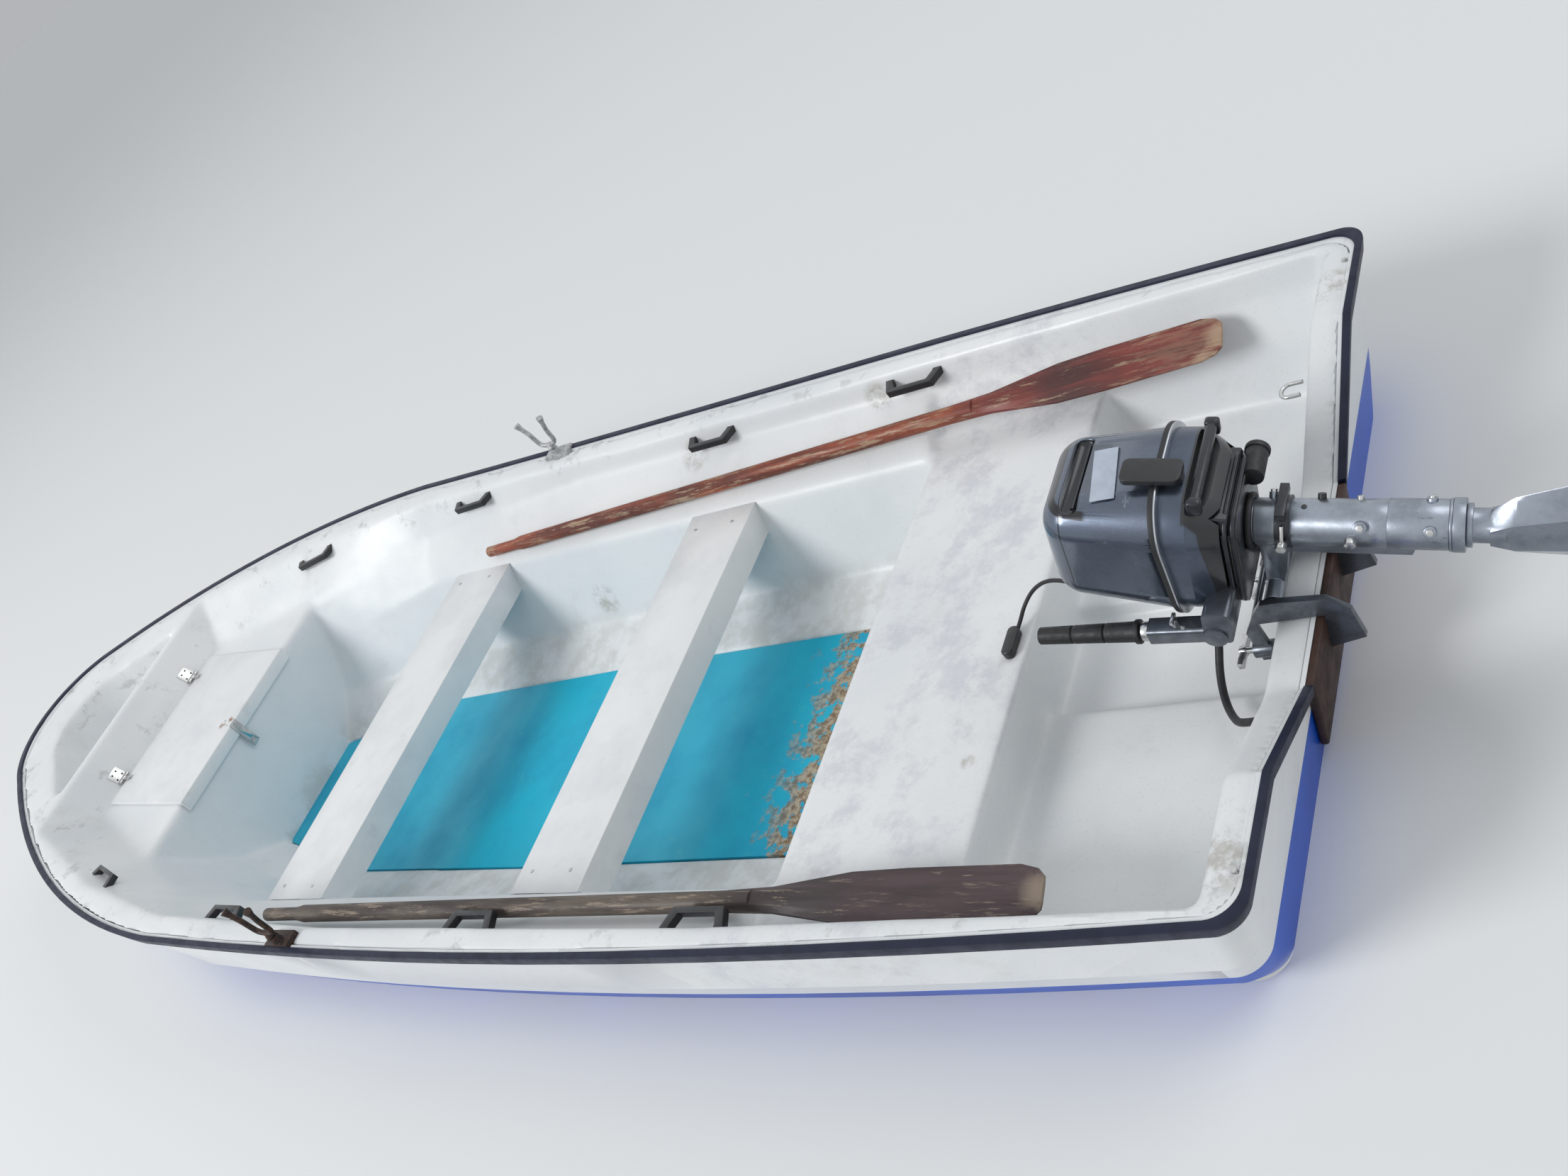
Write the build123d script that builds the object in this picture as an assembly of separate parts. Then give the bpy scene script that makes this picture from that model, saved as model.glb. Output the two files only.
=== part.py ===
from build123d import *
import math
import os

os.makedirs("parts", exist_ok=True)

# Stations run forward from the stern corner, port is +Y, and Z is the height above the waterline
MIDSHIP = 2160.0
SHEER_AFT = 330.0
SHEER_FLAT_END = 1200.0
SHEER_RADIUS = 32700.0
TRANSOM_RAKE = 0.23
TRANSOM_TOP_X = 26.0
SKIN = 8.0

RUB_DEPTH = 30.0
RUB_REACH = 22.0
RUB_LIP = 5.0

NOTCH_TOP = 182.0
NOTCH_HALF = 220.0
NOTCH_SLOPE_HALF = 480.0

BENCH_TOP = 180.0
BENCH_AFT = 610.0
BENCH_FORE = 1030.0
FLOOR_TOP = -85.0
FLOOR_THICK = 12.0
BULKHEAD_X = 3395.0
LOCKER_FORE = 3760.0

STRIPE_TOP = 120.0
BILGE_LOW = -60.0

# Plan outlines of the hull, one row a height
# Columns: z, stern, half_stern, half_mid, half_fore, bow_x, bow_y, nose_x, nose_y, tip
HULL_LEVELS = [
    (600.0, -36.0, 727.0, 800.0, 800.0, 3600.0, 648.0, 4225.0, 268.0, 4359.0),
    (330.0, 26.0, 715.0, 778.0, 762.0, 3500.0, 618.0, 4110.0, 250.0, 4235.0),
    (170.0, 63.0, 700.0, 765.0, 735.0, 3450.0, 585.0, 4040.0, 232.0, 4156.0),
    (80.0, 84.0, 672.0, 735.0, 697.0, 3400.0, 545.0, 3980.0, 214.0, 4087.0),
    (0.0, 102.0, 620.0, 680.0, 622.0, 3330.0, 460.0, 3880.0, 188.0, 3974.0),
    (-90.0, 123.0, 470.0, 510.0, 440.0, 3200.0, 305.0, 3640.0, 130.0, 3705.0),
    (-150.0, 137.0, 90.0, 90.0, 80.0, 2900.0, 64.0, 3180.0, 40.0, 3200.0),
]
MID_X = 1500.0
FORE_X = 2900.0
STERN_CORNER = 55.0

# Half sections of the cockpit, one row a station: sheer edge, ledge foot, ledge edge, knuckle, floor edge
# Columns: x, y0, y1, z1, y2, z2, y3, z3, y4
COCKPIT_SECTIONS = [
    (1030.0, 718.0, 700.0, 268.0, 552.0, 180.0, 460.0, -45.0, 310.0),
    (2200.0, 726.0, 706.0, 285.0, 552.0, 180.0, 462.0, -45.0, 312.0),
    (2900.0, 708.0, 648.0, 272.0, 553.0, 180.0, 450.0, -40.0, 300.0),
    (3395.0, 625.0, 476.0, 276.0, 402.0, 147.0, 314.0, 19.0, 186.0),
]

OUTBOARD_PIVOT = (120.0, 0.0, 215.0)
OUTBOARD_TILT = 73.0


def sheer_height(x):
    if x <= SHEER_FLAT_END:
        return SHEER_AFT
    rise = SHEER_RADIUS - math.sqrt(SHEER_RADIUS**2 - (x - SHEER_FLAT_END) ** 2)
    return SHEER_AFT + rise


def transom_x(z):
    return TRANSOM_TOP_X + TRANSOM_RAKE * (SHEER_AFT - z)


def block(x0, x1, y0, y1, z0, z1):
    return Pos((x0 + x1) / 2, (y0 + y1) / 2, (z0 + z1) / 2) * Box(x1 - x0, y1 - y0, z1 - z0)


def mirrored(shape):
    return mirror(shape, Plane.XZ)


def arc_through(points, side, z):
    return Edge.make_three_point_arc(*[(x, y * side, z) for x, y in points])


def plan_wire(row, inset):
    z, stern, half_stern, half_mid, half_fore, bow_x, bow_y, nose_x, nose_y, tip = row
    x0 = stern + inset
    ys = half_stern - inset
    r = min(STERN_CORNER, ys * 0.5)
    d = r * (1 - math.sqrt(0.5))
    fore_x = min(FORE_X, nose_x - 320)
    end = (nose_x - inset * 0.5, nose_y - inset * 0.9)
    arcs = [
        ((x0, ys - r), (x0 + d, ys - d), (x0 + r, ys)),
        ((x0 + r, ys), (MID_X, half_mid - inset), (fore_x, half_fore - inset)),
        ((fore_x, half_fore - inset), (bow_x, bow_y - inset), end),
    ]
    edges = [Edge.make_line((x0, r - ys, z), (x0, ys - r, z))]
    edges += [arc_through(arc, 1, z) for arc in arcs]
    edges.append(arc_through((end, (tip - inset, 0), (end[0], -end[1])), 1, z))
    edges += [arc_through(tuple(reversed(arc)), -1, z) for arc in reversed(arcs)]
    return Wire(edges)


def hull_body(inset):
    wires = [plan_wire(row, inset) for row in HULL_LEVELS]
    return Solid.make_loft(wires, ruled=True)


def sheer_under(lift):
    # Everything below the sheer line, with the transom notch taken out
    low, high = -400.0, SHEER_AFT + lift
    far = 4600.0
    far_z = sheer_height(far) + lift
    mid = (SHEER_FLAT_END + far) / 2
    profile = [
        Line((-200, 0, low), (-200, 0, high)),
        Line((-200, 0, high), (SHEER_FLAT_END, 0, high)),
        ThreePointArc((SHEER_FLAT_END, 0, high), (mid, 0, sheer_height(mid) + lift), (far, 0, far_z)),
        Line((far, 0, far_z), (far, 0, low)),
        Line((far, 0, low), (-200, 0, low)),
    ]
    face = Face(Wire(profile))
    solid = Pos(0, -900, 0) * Solid.extrude(face, Vector(0, 1800, 0))
    notch = Polyline(
        (0, -NOTCH_SLOPE_HALF, SHEER_AFT + lift),
        (0, -NOTCH_HALF, NOTCH_TOP + lift),
        (0, NOTCH_HALF, NOTCH_TOP + lift),
        (0, NOTCH_SLOPE_HALF, SHEER_AFT + lift),
        (0, NOTCH_SLOPE_HALF, SHEER_AFT + 300),
        (0, -NOTCH_SLOPE_HALF, SHEER_AFT + 300),
        close=True,
    )
    cut = Solid.extrude(Face(Wire(notch.edges())), Vector(240, 0, 0))
    return solid - Pos(-100, 0, 0) * cut


def polygon_wire(points):
    return Wire(Polyline(*points, close=True).edges())


def ruled(wires):
    return Solid.make_loft(wires, ruled=True)


def cockpit_section(row, top=760.0):
    x, y0, y1, z1, y2, z2, y3, z3, y4 = row
    half = [(y0, top), (y0, sheer_height(x)), (y1, z1), (y2, z2), (y3, z3), (y4, FLOOR_TOP)]
    points = [(x, y, z) for y, z in half] + [(x, -y, z) for y, z in reversed(half)]
    return polygon_wire(points)


def cockpit_cavity():
    return ruled([cockpit_section(row) for row in COCKPIT_SECTIONS])


# Half sections over the stern bench and well: sheer edge, wall foot, bench edge, well floor edge
# Columns: place, y0, y1, z1, y2, y3
STERN_SECTIONS = {
    "fore": (718.0, 700.0, 268.0, 646.0, 0.0),
    "middle": (704.0, 690.0, 268.0, 642.0, 604.0),
    "aft": (690.0, 680.0, 268.0, 632.0, 590.0),
}
WELL_FLOOR = 70.0
WELL_CHANNEL = 32.0
WELL_CHANNEL_HALF = 125.0
WELL_TOP_X = 88.0
WELL_SLOPE = 0.267
OPEN_TOP = 760.0


def stern_section(place, x, lean=0.0, floor=False):
    y0, y1, z1, y2, y3 = STERN_SECTIONS[place]
    half = [(y0, OPEN_TOP), (y0, SHEER_AFT), (y1, z1), (y2, BENCH_TOP)]
    if floor:
        half.append((y3, WELL_FLOOR))
    points = [(x + lean * (SHEER_AFT - z), y, z) for y, z in half]
    return polygon_wire(points + [(px, -py, pz) for px, py, pz in reversed(points)])


def bench_cavity():
    # Open space over the stern bench
    return ruled([stern_section("middle", BENCH_AFT), stern_section("fore", BENCH_FORE)])


def well_inner_x(z):
    # Inner face of the transom
    return WELL_TOP_X + WELL_SLOPE * (SHEER_AFT - z)


def well_cavity():
    aft = stern_section("aft", WELL_TOP_X, WELL_SLOPE, floor=True)
    upper = ruled([aft, stern_section("middle", BENCH_AFT, floor=True)])
    foot = well_inner_x(WELL_FLOOR)
    channel = block(foot, BENCH_AFT, -WELL_CHANNEL_HALF, WELL_CHANNEL_HALF, WELL_CHANNEL, WELL_FLOOR + 1)
    return upper + channel


LOCKER_TOP_AFT = 277.0
LOCKER_TOP_FORE = 314.0
RISER_FOOT = (3780.0, 320.0, 314.0)
RISER_TOP = (3841.0, 461.0, 443.0)
RISER_HIGH = (RISER_TOP[0] + 257.0 * 61.0 / 129.0, 560.0, 700.0)


def locker_top_cavity():
    x = BULKHEAD_X - 1
    aft = [(625.0, 700.0), (625.0, 414.0), (476.0, LOCKER_TOP_AFT)]
    first = [(x, y, z) for y, z in aft] + [(x, -y, z) for y, z in reversed(aft)]
    fore = [RISER_HIGH, RISER_TOP, RISER_FOOT]
    second = list(fore) + [(px, -py, pz) for px, py, pz in reversed(fore)]
    return ruled([polygon_wire(first), polygon_wire(second)])


# Inside of the bow locker, under the lid
LOCKER_HOLLOW = (3412.0, 3742.0, 252.0, -40.0)


def locker_hollow():
    x0, x1, half, z0 = LOCKER_HOLLOW
    return block(x0, x1, -half, half, z0, 420.0)


# Columns: z, aft, half_aft, mid_x, mid_y, tip
BOW_WELL = [
    (215.0, 3885.0, 250.0, 3990.0, 135.0, 4055.0),
    (700.0, 3860.0, 432.0, 4075.0, 262.0, 4232.0),
]


def bow_well_cavity():
    wires = []
    for z, aft, half_aft, mid_x, mid_y, tip in BOW_WELL:
        left = Line((aft, -half_aft, z), (aft, half_aft, z))
        side = Line((aft, half_aft, z), (mid_x, mid_y, z))
        nose = ThreePointArc((mid_x, mid_y, z), (tip, 0, z), (mid_x, -mid_y, z))
        wires.append(Wire([left, side, nose, Line((mid_x, -mid_y, z), (aft, -half_aft, z))]))
    return ruled(wires)


def floor_prism(z0, z1, trim=0.0):
    rows = [(row[0], row[8] - trim) for row in COCKPIT_SECTIONS]
    points = [(x, y, z0) for x, y in rows] + [(x, -y, z0) for x, y in reversed(rows)]
    face = Face(polygon_wire(points))
    return Solid.extrude(face, Vector(0, 0, z1 - z0))


def outboard_place(shape):
    # The outboard is drawn upright about its tilt pin and then tipped up
    return Pos(*OUTBOARD_PIVOT) * Rot(0, OUTBOARD_TILT, 0) * shape


# Columns: name, aft, fore
THWARTS = [("thwart_forward", 2540.0, 2790.0), ("thwart_aft", 1570.0, 1790.0)]
THWART_TOP = 182.0
THWART_DEPTH = 78.0
THWART_WALL = 6.0


def thwart(aft, fore, room):
    # An inverted channel whose ends follow the side walls
    shape = block(aft, fore, -600, 600, THWART_TOP - THWART_DEPTH, THWART_TOP)
    shape -= block(aft + THWART_WALL, fore - THWART_WALL, -600, 600, 0, THWART_TOP - THWART_WALL)
    return shape & room


# The lid lies on the sloping locker top
LID_AFT = 3383.0
LID_FORE = 3764.0
LID_HALF = 287.0
LID_THICK = 12.0
LID_GAP = 1.0
LID_LIP = 30.0
HINGE_X = 3772.0
HINGE_Z = 332.0
HINGE_PIN = 2.0
HINGE_BARREL = 4.5
HINGE_Y = (-197.0, 197.0)
HINGE_WIDTH = 44.0


def locker_top_z(x):
    share = (x - BULKHEAD_X) / (RISER_FOOT[0] - BULKHEAD_X)
    return LOCKER_TOP_AFT + share * (RISER_FOOT[2] - LOCKER_TOP_AFT)


def side_prism(points, y0, y1):
    # A solid of constant section across the boat, from (x, z) points
    face = Face(polygon_wire([(x, y0, z) for x, z in points]))
    return Solid.extrude(face, Vector(0, y1 - y0, 0))


def lid_panel():
    low_aft = locker_top_z(LID_AFT) + LID_GAP
    low_fore = locker_top_z(LID_FORE) + LID_GAP
    points = [
        (LID_AFT, low_aft - LID_LIP),
        (LID_AFT + 7, low_aft - LID_LIP),
        (LID_AFT + 7, low_aft),
        (LID_FORE, low_fore),
        (LID_FORE, low_fore + LID_THICK),
        (LID_AFT, low_aft + LID_THICK),
    ]
    return side_prism(points, -LID_HALF, LID_HALF)


def bar_along_y(x, z, radius, y0, y1):
    return Pos(x, (y0 + y1) / 2, z) * Rot(90, 0, 0) * Cylinder(radius, y1 - y0)


RISER_ANGLE = math.degrees(math.atan2(RISER_TOP[0] - RISER_FOOT[0], RISER_TOP[2] - RISER_FOOT[2]))


def hinge_fixed():
    # Plates screwed to the riser, with the pin and the outer knuckles
    shape = None
    for y in HINGE_Y:
        half = HINGE_WIDTH / 2
        base = Pos(RISER_FOOT[0], y, RISER_FOOT[2]) * Rot(0, RISER_ANGLE, 0)
        plate = base * Pos(-1.5, 0, 36) * Box(3.0, HINGE_WIDTH, 40)
        arm_z = HINGE_Z
        arm = block(HINGE_X, HINGE_X + 14, y - half, y + half, arm_z - 2, arm_z + 2)
        gap = Pos(HINGE_X, y, HINGE_Z) * Rot(90, 0, 0) * Cylinder(HINGE_BARREL + 0.6, HINGE_WIDTH / 3 + 1.0)
        unit = plate + arm + bar_along_y(HINGE_X, HINGE_Z, HINGE_BARREL, y - half, y + half)
        low, high = y - half / 3 - 0.5, y + half / 3 + 0.5
        unit = unit - gap - block(HINGE_X - 10, HINGE_X + 7, low, high, 300, 400)
        unit = unit + bar_along_y(HINGE_X, HINGE_Z, HINGE_PIN, y - half + 1, y + half - 1)
        shape = unit if shape is None else shape + unit
    return shape


def hinge_moving():
    shape = None
    for y in HINGE_Y:
        third = HINGE_WIDTH / 6
        knuckle = bar_along_y(HINGE_X, HINGE_Z, HINGE_BARREL, y - third, y + third)
        knuckle += block(LID_FORE - 22, HINGE_X, y - third, y + third, HINGE_Z - 3.5, HINGE_Z - 0.5)
        knuckle -= bar_along_y(HINGE_X, HINGE_Z, HINGE_PIN + 0.05, y - 30, y + 30)
        shape = knuckle if shape is None else shape + knuckle
    return shape - lid_panel()


def hasp():
    points = [(LID_AFT - 3, 190.0), (LID_AFT, 190.0), (LID_AFT, 292.5), (LID_AFT - 3, 292.5)]
    strap = side_prism(points, -14.0, 14.0)
    slot = Pos(LID_AFT - 1.5, 0, 208) * Rot(0, 90, 0) * Cylinder(6.0, 12.0)
    return strap - slot


# Grab handles, one row a pair: middle station, half length
# Columns: x, half_length, y, yaw
HANDLES = [
    (1052.0, 78.0, 709.0, 0.5),
    (1692.0, 78.0, 713.0, 0.5),
    (2643.0, 78.0, 706.0, -1.8),
    (3352.0, 78.0, 606.0, -15.6),
]
HANDLE_REACH = 42.0
HANDLE_THICK = 17.0
HANDLE_DROP = 30.0


def grab_handle(row, side):
    x, half, y, yaw = row
    reach = HANDLE_REACH
    outer_arch = [(half, 14), (half, 0), (half - 16, -reach)]
    outer_arch += [(-a, b) for a, b in reversed(outer_arch)]
    inner_arch = [(half - 22, 20), (half - 22, -6), (half - 32, 12 - reach)]
    inner_arch += [(-a, b) for a, b in reversed(inner_arch)]
    flat = Face(polygon_wire([(a, b, -HANDLE_THICK / 2) for a, b in outer_arch]))
    hole = Face(polygon_wire([(a, b, -HANDLE_THICK) for a, b in inner_arch]))
    arch = Solid.extrude(flat, Vector(0, 0, HANDLE_THICK))
    arch = arch - Solid.extrude(hole, Vector(0, 0, HANDLE_THICK * 2))
    z = sheer_height(x) - HANDLE_DROP
    placed = Pos(x, y, z) * Rot(0, 0, yaw) * arch
    return placed if side > 0 else mirrored(placed)


ROWLOCK_X = 2285.0
ROWLOCK_Y = 768.0
ROWLOCK_PIN = 6.4
ROWLOCK_BAR = 6.5
SOCKET_TOP = 376.0
# Clearance hole through the side deck round each pin: radius, lower and upper end
SOCKET_HOLE = 14.0
SOCKET_HOLE_LOW = 330.0
SOCKET_HOLE_HIGH = 430.0


def rowlock_socket(side):
    y = ROWLOCK_Y * side
    z0 = sheer_height(ROWLOCK_X)
    plate = block(ROWLOCK_X - 46, ROWLOCK_X + 46, y - 26, y + 14, z0 - 8, z0 + 10)
    boss = Pos(ROWLOCK_X, y, (z0 + SOCKET_TOP) / 2) * Cylinder(13.0, SOCKET_TOP - z0)
    deep = Pos(ROWLOCK_X, y, SOCKET_TOP - 40) * Cylinder(ROWLOCK_PIN + 0.06, 90)
    return plate + boss - deep


def rowlock(side):
    # A horn crutch: pin, neck and two horns of round bar
    y = ROWLOCK_Y * side
    pin = Pos(ROWLOCK_X, y, SOCKET_TOP - 12) * Cylinder(ROWLOCK_PIN, 36)
    neck = Pos(ROWLOCK_X, y, SOCKET_TOP + 10) * Cylinder(8.5, 16)
    seat = SOCKET_TOP + 14
    shape = pin + neck
    for hand in (1, -1):
        path = FilletPolyline(
            (ROWLOCK_X, y, seat),
            (ROWLOCK_X + 30 * hand, y, seat + 4),
            (ROWLOCK_X + 36 * hand, y, seat + 52),
            (ROWLOCK_X + 50 * hand, y, seat + 92),
            radius=[18, 30],
        )
        profile = Plane(origin=path @ 0, z_dir=path % 0) * Circle(ROWLOCK_BAR)
        shape += sweep(profile, path=path)
    return shape


# Oars lying loose along the sides: grip end, blade tip and roll of the blade
# Columns: name, grip, tip, roll
OARS = [
    ("oar_port", (2490.0, 673.0, 308.0), (395.0, 612.0, 241.0), 10.0),
    ("oar_starboard", (2601.0, -577.0, 223.0), (303.0, -607.0, 262.0), 20.0),
]
OAR_SHAFT = 20.0
OAR_GRIP = 15.5
OAR_GRIP_LENGTH = 120.0
# Columns: share, half_width, half_thick
BLADE = [
    (0.0, 19.0, 17.0),
    (0.16, 23.0, 13.0),
    (0.42, 46.0, 7.5),
    (0.6, 49.0, 6.0),
    (0.93, 48.0, 5.0),
    (0.98, 40.0, 4.5),
    (1.0, 27.0, 4.0),
]
BLADE_LENGTH = 640.0


def oar(grip, tip, roll):
    start, end = Vector(*grip), Vector(*tip)
    length = (end - start).length
    shaft_end = length - BLADE_LENGTH
    handle = Pos(0, 0, OAR_GRIP_LENGTH / 2) * Cylinder(OAR_GRIP, OAR_GRIP_LENGTH)
    collar = Pos(0, 0, OAR_GRIP_LENGTH + 15) * Cone(OAR_GRIP, OAR_SHAFT, 30)
    low, high = OAR_GRIP_LENGTH + 30, shaft_end + 60
    body = Pos(0, 0, (low + high) / 2) * Cylinder(OAR_SHAFT, high - low)
    wires = []
    for share, half, thick in BLADE:
        z = shaft_end + share * BLADE_LENGTH
        c = thick * 0.45
        points = [(half, -c), (half, c), (half * 0.5, thick), (-half * 0.5, thick)]
        points += [(-a, -b) for a, b in points]
        wires.append(polygon_wire([(a, b, z) for a, b in points]))
    blade = ruled(wires)
    shape = handle + collar + body + blade
    direction = (end - start).normalized()
    frame = Plane(origin=start, x_dir=Vector(0, 1, 0), z_dir=direction)
    return frame.location * Rot(0, 0, roll) * shape


def eye(bar, half, leg, place):
    # A U bolt drawn in the XZ plane, opening down
    corners = [(-half, 0, -leg), (-half, 0, half), (half, 0, half), (half, 0, -leg)]
    path = FilletPolyline(*corners, radius=half * 0.9)
    profile = Plane(origin=path @ 0, z_dir=path % 0) * Circle(bar)
    return place * sweep(profile, path=path)


PAD_THICK = 15.0
PAD_HALF = 218.0
PAD_LOW = 25.0


def motor_pad():
    corners = ((NOTCH_TOP, 0), (NOTCH_TOP, PAD_THICK), (PAD_LOW, PAD_THICK), (PAD_LOW, 0))
    points = [(transom_x(z) - a, z) for z, a in corners]
    return side_prism(points, -PAD_HALF, PAD_HALF)


# Outboard, drawn upright around its tilt pin
TUBE_X = -127.0
TUBE_OUT = 38.0
TUBE_BORE = 27.06
SHAFT_OUT = 27.0
TUBE_LOW = -285.0
TUBE_HIGH = 22.0
CHEEK_Y = 76.0
CHEEK_THICK = 12.0
SCREW_X = 172.0
SCREW_Z = 118.0
SCREW_RADIUS = 6.0
PAN_LOW = 34.0
# The seam between the two cowl halves rises towards the rear
SEAM_FRONT = 129.0
SEAM_RISE = 0.0963
SEAM_HALF = 6.0
COWL_TOP = 348.0
COWL_FRONT = 0.0
COWL_REAR = -265.0
COWL_HALF = 132.0
COWL_CORNER = 80.0
COWL_ROUND = 55.0
COWL_DRAFT = 6.5
COWL_BASE = 100.0
SEAM_STEP = 3.0
PAN_STEP = 64.0
PROP_Z = -545.0
PROP_X = -262.0
PROP_RADIUS = 95.0
GEARCASE_RADIUS = 34.0
PLATE_Z = -432.0
SKEG_DROP = 118.0


def clamp_bracket():
    pad_x = [transom_x(z) - PAD_THICK for z in (187.0, 108.0)]
    cheek = [(0, 122), (0, 190), (30, 224), (104, 232), (135, 232), (152, 214), (184, 168)]
    cheek += [(184, 95), (160, 95), (160, 187), (pad_x[0], 187), (pad_x[1], 108)]
    shape = None
    for y in (-CHEEK_Y, CHEEK_Y):
        plate = side_prism(cheek, y - CHEEK_THICK / 2, y + CHEEK_THICK / 2)
        shape = plate if shape is None else shape + plate
    px, py, pz = OUTBOARD_PIVOT
    shape += bar_along_y(px, pz, 8.0, -CHEEK_Y, CHEEK_Y)
    shape += bar_along_y(158, 196, 6.0, -CHEEK_Y, CHEEK_Y)
    for y in (-CHEEK_Y, CHEEK_Y):
        boss = Pos(SCREW_X, y, SCREW_Z) * Rot(0, 90, 0) * Cylinder(15.0, 34)
        shape += boss
    bores = None
    for y in (-CHEEK_Y, CHEEK_Y):
        bore = Pos(SCREW_X, y, SCREW_Z) * Rot(0, 90, 0) * Cylinder(SCREW_RADIUS, 60)
        bores = bore if bores is None else bores + bore
    return shape - bores


def clamp_screws():
    shape = None
    for y in (-CHEEK_Y, CHEEK_Y):
        unit = Pos(SCREW_X + 6, y, SCREW_Z) * Rot(0, 90, 0) * Cylinder(SCREW_RADIUS, 60)
        face_x = well_inner_x(SCREW_Z)
        lean = math.degrees(math.atan(WELL_SLOPE))
        unit += Pos(face_x, y, SCREW_Z) * Rot(0, 90 - lean, 0) * Pos(0, 0, 3) * Cylinder(17.0, 6)
        unit += Pos(SCREW_X + 38, y, SCREW_Z) * Rot(0, 90, 0) * Cylinder(9.0, 12)
        unit += Pos(SCREW_X + 38, y, SCREW_Z) * Box(10, 68, 12)
        shape = unit if shape is None else shape + unit
    return shape


def swivel():
    # The tube that carries the leg, its web and the tilt barrel
    tube = Pos(TUBE_X, 0, (TUBE_LOW + TUBE_HIGH) / 2) * Cylinder(TUBE_OUT, TUBE_HIGH - TUBE_LOW)
    ring = Pos(TUBE_X, 0, TUBE_LOW + 9) * Cylinder(TUBE_OUT + 4, 18)
    web_line = [(TUBE_X, 20), (-6, 13), (-6, -13), (-40, -21), (-84, -26), (-84, -210), (TUBE_X, -225)]
    web = side_prism(web_line, -26, 26)
    barrel = bar_along_y(0, 0, 16.0, -64, 64)
    shape = tube + ring + web + barrel
    shape -= bar_along_y(0, 0, 8.06, -80, 80)
    return shape - Pos(TUBE_X, 0, -130) * Cylinder(TUBE_BORE, 500)


def friction_clamp():
    band = Pos(TUBE_X, 0, -22) * (Cylinder(TUBE_OUT + 5, 22) - Cylinder(TUBE_OUT, 30))
    lever = Pos(TUBE_X - TUBE_OUT - 7, 0, -22) * Box(14, 70, 14)
    return band + (lever - Pos(TUBE_X, 0, -22) * Cylinder(TUBE_OUT + 2, 60))


def rounded_box(x0, x1, half, z0, z1, upright, top):
    shape = block(x0, x1, -half, half, z0, z1)
    shape = fillet(shape.edges().filter_by(Axis.Z), upright)
    if top > 0:
        shape = fillet(shape.faces().sort_by(Axis.Z)[-1].edges(), top)
    return shape


# Lower leg sections from the top down
# Columns: z, nose, tail, half width
LEG_SECTIONS = [
    (-318.0, 34.0, 34.0, 26.0),
    (-350.0, 58.0, 62.0, 24.0),
    (-430.0, 62.0, 92.0, 20.0),
    (-545.0, 35.0, 88.0, 19.0),
]


def leg():
    # Inner pipe, thrust collar, lower housing and anti-ventilation plate
    pipe = Pos(TUBE_X, 0, (PAN_LOW - 340) / 2) * Cylinder(SHAFT_OUT, PAN_LOW + 340)
    collar = Pos(TUBE_X, 0, 28.5) * Cylinder(35.0, 11)
    lower_collar = Pos(TUBE_X, 0, TUBE_LOW - 5) * Cylinder(34.0, 8)
    sections = []
    for z, nose, tail, half in LEG_SECTIONS:
        points = [(TUBE_X + nose, 0), (TUBE_X + nose * 0.5, half)]
        points += [(TUBE_X - tail * 0.4, half), (TUBE_X - tail, 0)]
        points += [(TUBE_X - tail * 0.4, -half), (TUBE_X + nose * 0.5, -half)]
        sections.append(polygon_wire([(x, y, z) for x, y in points]))
    housing = ruled(sections)
    side = [(TUBE_X + 30, 46), (TUBE_X - 60, 78), (TUBE_X - 215, 84)]
    outline = [(TUBE_X + 70, 0)] + side + [(x, -y) for x, y in reversed(side)]
    plate = Solid.extrude(Face(polygon_wire([(x, y, PLATE_Z) for x, y in outline])), Vector(0, 0, 7))
    shape = pipe + collar + lower_collar + housing + plate
    return shape - Pos(TUBE_X, 0, PROP_Z) * Rot(0, 90, 0) * Cylinder(GEARCASE_RADIUS, 400)


def gearcase():
    body = Pos(-166.0, 0, PROP_Z) * Rot(0, 90, 0) * Cylinder(GEARCASE_RADIUS, 152)
    nose = Pos(TUBE_X + 62, 0, PROP_Z) * Rot(0, 90, 0) * Cone(GEARCASE_RADIUS, 8.0, 54)
    tail = Pos(PROP_X + 8, 0, PROP_Z) * Rot(0, -90, 0) * Cone(GEARCASE_RADIUS, 27.0, 26)
    top, foot = PROP_Z - 20, PROP_Z - SKEG_DROP
    skeg_line = [(TUBE_X + 30, top), (TUBE_X - 20, foot), (TUBE_X - 62, foot), (TUBE_X - 96, top)]
    skeg = side_prism(skeg_line, -5, 5)
    return body + nose + tail + skeg


# Propeller blade sections from the root out
# Columns: radius, chord, thickness, pitch_angle
PROP_SECTIONS = [
    (20.0, 40.0, 8.0, 30.0),
    (48.0, 58.0, 6.0, 42.0),
    (76.0, 56.0, 4.5, 54.0),
    (PROP_RADIUS, 26.0, 3.0, 60.0),
]


def propeller_blade():
    wires = []
    for radius, chord, thick, angle in PROP_SECTIONS:
        turn = math.radians(angle)
        points = []
        for a, b in ((-0.5, 0.0), (-0.2, 0.5), (0.2, 0.5), (0.5, 0.0), (0.2, -0.5), (-0.2, -0.5)):
            along, across = a * chord, b * thick
            x = along * math.cos(turn) - across * math.sin(turn)
            y = along * math.sin(turn) + across * math.cos(turn)
            points.append((x, y, radius))
        wires.append(polygon_wire(points))
    return ruled(wires)


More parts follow.
